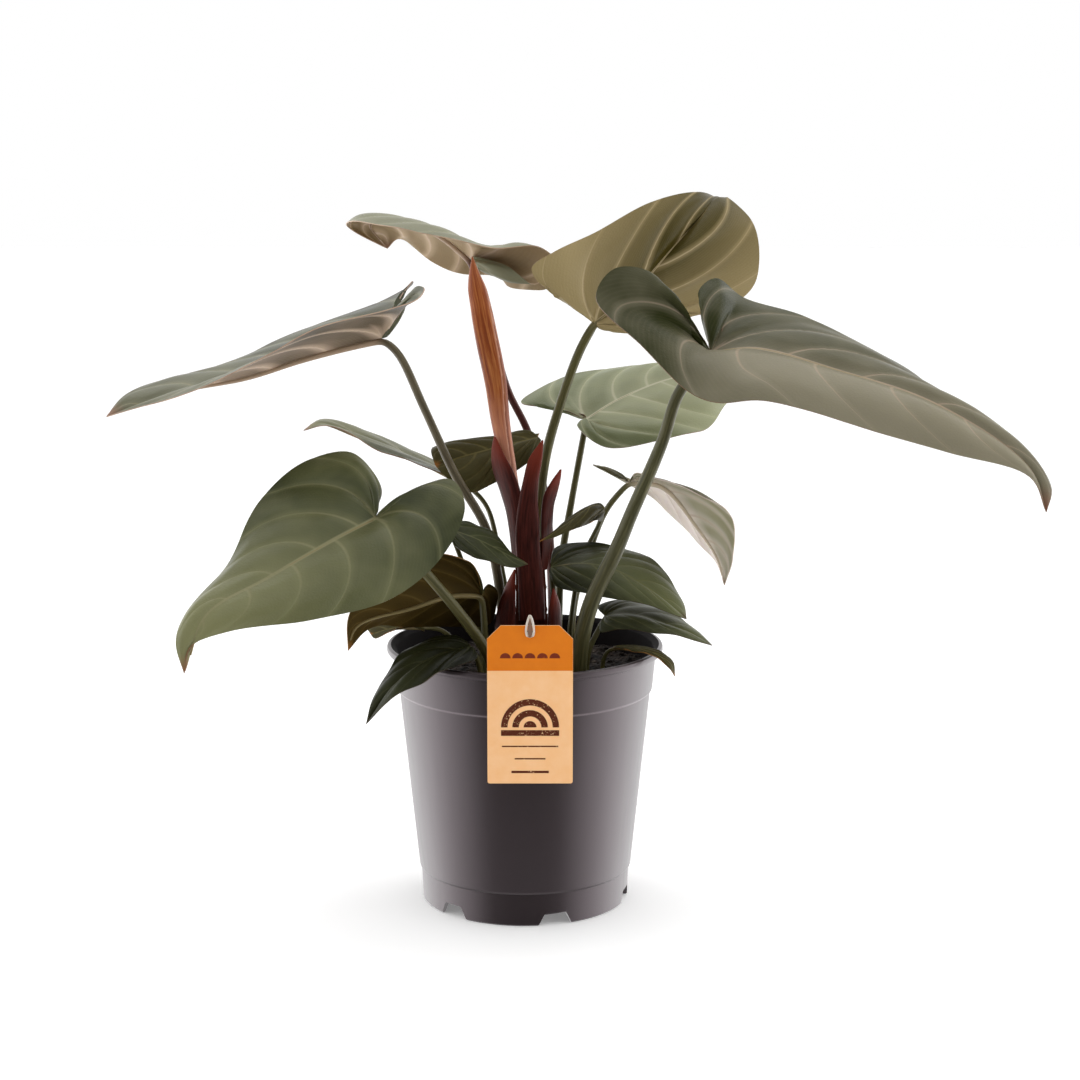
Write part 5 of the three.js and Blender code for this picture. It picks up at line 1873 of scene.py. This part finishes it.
@dataclass
class Tag:
    """The hang tag: a card with a plain printed sunrise, on a moulded tie.

    Args:
        ink_lift: How far the middle of an ink lies before the card.
        ink_thickness: How thick an ink is.
        scallops: How many stand in the band's row, how far apart, their radius, and how far down they are.
        arch_drop: How far down the sunrise's centre is.
        arches: Outer and inner radius of each of its rings.
        rules: How far down each rule is, its width and its height.
        stem_at: Where the crown's stem stands, which the tie's ring goes round.
    """

    width: float = 50
    thickness: float = 0.8
    chamfer: float = 8
    top: float = 191
    centre_x: float = 3.5
    front_y: float = -86.1
    hole_radius: float = 2.4
    hole_drop: float = 5
    band: float = 27
    ink_lift: float = 0.06
    ink_thickness: float = 0.05
    scallops: tuple[int, float, float, float] = (5, 7.2, 3.1, 19.5)
    arch_drop: float = 61
    arches: tuple[tuple[float, float], ...] = ((17, 13.2), (10.4, 6.6), (3.8, 0))
    rules: tuple[tuple[float, float, float], ...] = (
        (64.4, 34, 3.4), (72.5, 33, 0.8), (80, 18, 0.8), (88, 22, 1.4),
    )
    stem_at: tuple[float, float] = (4, -6)
    ring_height: float = 168
    ring_radius: float = 11
    tie_radius: float = 0.7
    loop_height: float = 11
    loop_half_width: float = 2.3
    leg_half_width: float = 1.1

    def card(self, frame: dict) -> None:
        """Dresses the card's solid, which has the right shape already.

        Args:
            frame: The loaded frame.
        """
        dress(frame["nodes"]["tag_card"], CardFinish("peach", "#f0b478", "#f6c898").build())

    def _print(self, piece: bpy.types.Object, ink: bpy.types.Material) -> None:
        """Gives a flat print its thickness and ink, and hands it over.

        Args:
            piece: The flat print.
            ink: Its material.
        """
        apply_modifier(piece, "SOLIDIFY", thickness=self.ink_thickness * MM, offset=0.0)
        edit_all(piece, turn_outwards)
        dress(piece, ink)
        hand_over(piece, "tag_print")

    def _place(self, across: float, down: float, layer: int = 0) -> tuple[float, float, float]:
        """Gives the place on a layer of ink at a distance from the card's middle and from its top."""
        lift = self.ink_lift + layer * self.ink_thickness
        return ((self.centre_x + across) * MM, (self.front_y - lift) * MM, (self.top - down) * MM)

    def _bar(self, name: str, down: float, width: float, height: float) -> bpy.types.Object:
        """Lays a plain upright rectangle of ink in the card's middle.

        Args:
            name: The piece's name.
            down: Its middle below the card's top.
            width: Its width.
            height: Its height.

        Returns:
            The flat print.
        """
        centre = self._place(0, down)
        piece = add_piece(name, bpy.ops.mesh.primitive_plane_add, size=MM, location=centre, rotation=UPRIGHT)
        edit_all(piece, partial(bpy.ops.transform.resize, value=(width, 1, height), center_override=centre))
        return piece

    def _arch(
        self, name: str, centre: tuple[float, float, float], outer: float, inner: float = 0
    ) -> bpy.types.Object:
        """Lays an upright half ring of ink, or a half disc where the inner radius is zero.

        Args:
            name: The piece's name.
            centre: Its centre, in metres.
            outer: Its outer radius.
            inner: Its inner radius.

        Returns:
            The flat print.
        """
        piece = add_piece(
            name, bpy.ops.mesh.primitive_circle_add, vertices=72, radius=outer * MM, location=centre,
            rotation=UPRIGHT, fill_type="NOTHING" if inner else "NGON",
        )
        bpy.ops.object.mode_set(mode="EDIT")
        bpy.ops.mesh.select_all(action="SELECT")
        if inner:
            bpy.ops.mesh.extrude_edges_move(TRANSFORM_OT_translate=IN_PLACE)
            bpy.ops.transform.resize(value=(inner / outer, 1, inner / outer), center_override=centre)
            bpy.ops.mesh.select_all(action="SELECT")
        bpy.ops.mesh.bisect(plane_co=centre, plane_no=(0, 0, 1), clear_inner=True)
        bpy.ops.object.mode_set(mode="OBJECT")
        return piece

    def prints(self) -> None:
        """Prints the band with its row of scallops, and the sunrise and rules below it."""
        orange = CardFinish("orange", "#d06c02", "#de7c08").build()
        rust = CardFinish("rust", "#6e2408", "#7c2c0c", gaps=0.3, ground="#d06c02").build()
        brown = CardFinish("brown", "#4c1c04", "#60280c", gaps=0.85).build()
        # The band stops 0.1 mm short of the card's edges, with the card's chamfers
        band = self._bar("print_band", self.band / 2 + 0.05, self.width - 0.2, self.band - 0.1)
        chamfer = partial(
            bpy.ops.mesh.bevel, offset=(self.chamfer - 0.05) * MM, segments=1, affect="VERTICES",
        )
        edit_above(band, (self.top - 1) * MM, chamfer)
        self._print(band, orange)
        cut_with(band, self._hole_cutter())
        count, pitch, radius, drop = self.scallops
        for i in range(count):
            centre = self._place(pitch * (i - count // 2), drop, layer=1)
            self._print(self._arch(f"print_scallop_{i}", centre, radius), rust)
        for i, (outer, inner) in enumerate(self.arches):
            self._print(self._arch(f"print_arch_{i}", self._place(0, self.arch_drop), outer, inner), brown)
        for i, rule in enumerate(self.rules):
            self._print(self._bar(f"print_rule_{i}", *rule), brown)

    def tie(self) -> None:
        """Models the tie: a teardrop loop with a thin web, darker as painted shade inside the loop, its legs
        through the hole, a tail and a ring.
        """
        x, hole, radius = self.centre_x, self.top - self.hole_drop, self.tie_radius
        card_y = self.front_y + self.thickness / 2
        front = self.front_y - radius - 0.3
        back = card_y + self.thickness / 2 + 3 * radius
        leg, wide = self.leg_half_width, self.loop_half_width
        side = [
            (0.2, back + 1, hole - 1), (leg, back, hole - 0.4), (leg, card_y, hole),
            (leg + 0.6, front, hole - 0.8), (wide, front, hole + 2),
            (wide * 0.6, front, hole + 0.7 * self.loop_height),
        ]
        loop = [(x - across, y, z) for across, y, z in side]
        loop.append((x, front, hole + self.loop_height))
        loop += [(x + across, y, z) for across, y, z in reversed(side)]
        start = np.array([x, back + 0.8, hole - 1])
        end = np.array([self.stem_at[0], self.stem_at[1] - self.ring_radius, self.ring_height])
        tail = [start, (start + end) / 2 - (0, 0, 1), end]
        web = [(x, front + 0.2, hole + up) for up in (-0.9, 4, 10.4)]
        # The web's darker nylon is painted shade inside the loop
        milky, inner = TieFinish().build(), TieFinish("nylon_shaded", "#8f6c58", "#a8836c").build()
        share = np.linspace(0, 1, 120)
        pieces = []
        for name, points, radii, section, skin in (
            ("loop", loop, (radius, radius), None, milky), ("tail", tail, (radius, radius), None, milky),
            ("web", web, (1.5, 2.1, 1.6, 1.1, 0.3), self._thin, inner),
        ):
            path = SmoothCurve(points).at(share)
            pieces.append(tube_piece(f"tie_{name}", path, spread(radii, share), 14, section))
            dress(pieces[-1], skin)
        pieces.append(add_piece(
            "tie_ring", bpy.ops.mesh.primitive_torus_add, major_radius=self.ring_radius * MM,
            location=(self.stem_at[0] * MM, self.stem_at[1] * MM, self.ring_height * MM),
            minor_radius=radius * MM, major_segments=72, minor_segments=12,
        ))
        smooth(pieces[-1])
        dress(pieces[-1], milky)
        activate(pieces[0])
        for other in pieces[1:]:
            other.select_set(True)
        bpy.ops.object.join()
        pieces[0].name = "tie_moulded"
        hand_over(pieces[0], "tie_plastic", "tag_tie")

    @staticmethod
    def _thin(angles: np.ndarray, share: np.ndarray) -> np.ndarray:
        """Flattens the web's section to a fifth of its width."""
        return 1 / np.hypot(np.cos(angles) / 0.2, np.sin(angles)) + 0 * share

    def _hole_cutter(self) -> bpy.types.Object:
        """Makes a round cutter where the tie passes through.

        Returns:
            The cutter.
        """
        place = (self.centre_x * MM, self.front_y * MM, (self.top - self.hole_drop) * MM)
        return add_piece(
            "hole", bpy.ops.mesh.primitive_cylinder_add, vertices=40, radius=self.hole_radius * MM,
            depth=4 * MM, location=place, rotation=UPRIGHT,
        )

    def build(self, frame: dict) -> None:
        """Dresses the card, prints it and makes the tie.

        Args:
            frame: The loaded frame.
        """
        self.card(frame)
        self.prints()
        self.tie()


@dataclass
class Studio:
    """The photographer's table: a white sweep, soft boxes and the camera.

    Args:
        brightest: How bright the white of the surround is.
        overhead: Its tone straight above.
        paper: Its tone below, which the floor gives back.
        surround: Its tone level with the plant, from behind the camera (0) to behind the plant (1).
        soft_boxes: Name, place, width and height in metres, and brightness of each.
    """

    lens: float = 81.03
    sensor: float = 36
    camera_at: tuple[float, float, float] = (0.0093, -1.4622, 0.5015)
    camera_tilt: float = 79.3
    floor_size: float = 12
    brightest: float = 4.3
    overhead: str = "#626262"
    paper: str = "#808080"
    surround: tuple[tuple[float, str], ...] = (
        (0.0, "#1c1c1c"), (0.117, "#303030"), (0.165, "#898989"), (0.25, "#c0c0c0"), (0.362, "#dcdcdc"),
        (0.491, "#f4f4f4"), (0.638, "#ffffff"), (0.808, "#e8e8e8"), (0.905, "#c8c8c8"), (1.0, "#a0a0a0"),
    )
    soft_boxes: tuple[tuple[str, tuple[float, float, float], tuple[float, float], float], ...] = (
        ("soft_box_back", (0.0, 0.5, 1.5), (1.6, 0.8), 2.6),
        ("soft_box_front", (0.1, -0.75, 1.4), (1.2, 0.7), 1.3),
    )
    plant_middle: tuple[float, float, float] = (0, 0, 0.2)

    def floor(self) -> None:
        """Lays a plain pale floor, just under the pot, that gives off a little light of its own."""
        plane = add_piece(
            "studio_floor", bpy.ops.mesh.primitive_plane_add, size=self.floor_size,
            location=(0, 0, -0.2 * MM),
        )
        material, add = new_material("paper_white_matt")
        surface = add("BsdfPrincipled", {
            "Base Color": "#f4f4f4", "Roughness": 0.9, "Emission Color": "#ffffff", "Emission Strength": 0.2,
        })
        add("OutputMaterial", (surface,))
        dress(plane, material)
        plane.visible_glossy = False

    def box(
        self, name: str, place: tuple[float, float, float], size: tuple[float, float], radiance: float
    ) -> None:
        """Hangs a soft box that faces the plant.

        Args:
            name: The light's name.
            place: Where it hangs.
            size: Its width and height in metres.
            radiance: How bright its face is.
        """
        light = bpy.data.lights.new(name, "AREA")
        light.shape = "RECTANGLE"
        light.size, light.size_y = size
        light.energy = radiance * math.pi * size[0] * size[1]
        lamp = bpy.data.objects.new(name, light)
        bpy.context.collection.objects.link(lamp)
        lamp.location = place
        aim = unit(np.array(self.plant_middle) - np.array(place))
        lamp.rotation_euler = (math.acos(-aim[2]), 0, math.atan2(aim[1], aim[0]) - math.pi / 2)

    def world(self) -> None:
        """Surrounds the plant with white light: brightest at both sides, dim behind the camera."""
        world = bpy.data.worlds.new("studio_white")
        bpy.context.scene.world = world
        world.use_nodes = True
        world.node_tree.nodes.clear()
        add = partial(add_node, world.node_tree)
        look = add("TexCoord").outputs["Generated"]
        level = add("VectorMath", (look, (1, 1, 0)), operation="MULTIPLY")
        _, ahead, _ = add("SeparateXYZ", (add("VectorMath", (level,), operation="NORMALIZE"),)).outputs
        _, _, height = add("SeparateXYZ", (look,)).outputs
        turned = add("MapRange", (ahead, -1.0, 1.0, 0.0, 1.0))
        lifted = add("MapRange", (height, 0.2, 0.75, 0.0, 1.0))
        # Steeply downwards it shows what the paper floor gives back
        below = add("MapRange", (height, -0.5, -0.8, 0.0, 1.0))
        colour: object = add("ValToRGB", (turned,), self.surround)
        for amount, tone in ((lifted, self.overhead), (below, self.paper)):
            colour = add("Mix", (amount, colour, tone), data_type="RGBA")
        light = add("Background", (colour, self.brightest))
        # The camera itself sees plain white paper
        paper = add("Background", ("#ffffff", 1.0))
        seen = add("LightPath").outputs["Is Camera Ray"]
        add("OutputWorld", (add("MixShader", (seen, light, paper)),))

    def camera(self) -> None:
        """Sets the camera where the photograph was taken."""
        data = bpy.data.cameras.new("camera")
        data.lens = self.lens
        data.sensor_width = self.sensor
        data.clip_end = 20
        camera = bpy.data.objects.new("camera", data)
        bpy.context.collection.objects.link(camera)
        camera.location = self.camera_at
        camera.rotation_euler = (math.radians(self.camera_tilt), 0, 0)
        bpy.context.scene.camera = camera

    def build(self) -> None:
        """Sets up the floor, the lights, the world and the camera."""
        bpy.context.scene.view_settings.view_transform = "Standard"
        self.floor()
        self.world()
        for box in self.soft_boxes:
            self.box(*box)
        self.camera()


def main() -> None:
    """Loads the frame, and builds the plant and the studio."""
    logging.basicConfig(level=logging.INFO, format="%(name)s %(message)s")
    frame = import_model()
    skins = {
        skin: (skin.value.face(Face.TOP), skin.value.face(Face.UNDER), skin.value.margin()) for skin in Skin
    }
    stems = {stem: stem.value.build() for stem in Stem}
    for leaf in LEAVES:
        leaf.build(skins, stems)
    Crown().build()
    Pot().build()
    PottingSoil().build()
    Tag().build(frame)
    Studio().build()


if __name__ == "__main__":
    main()
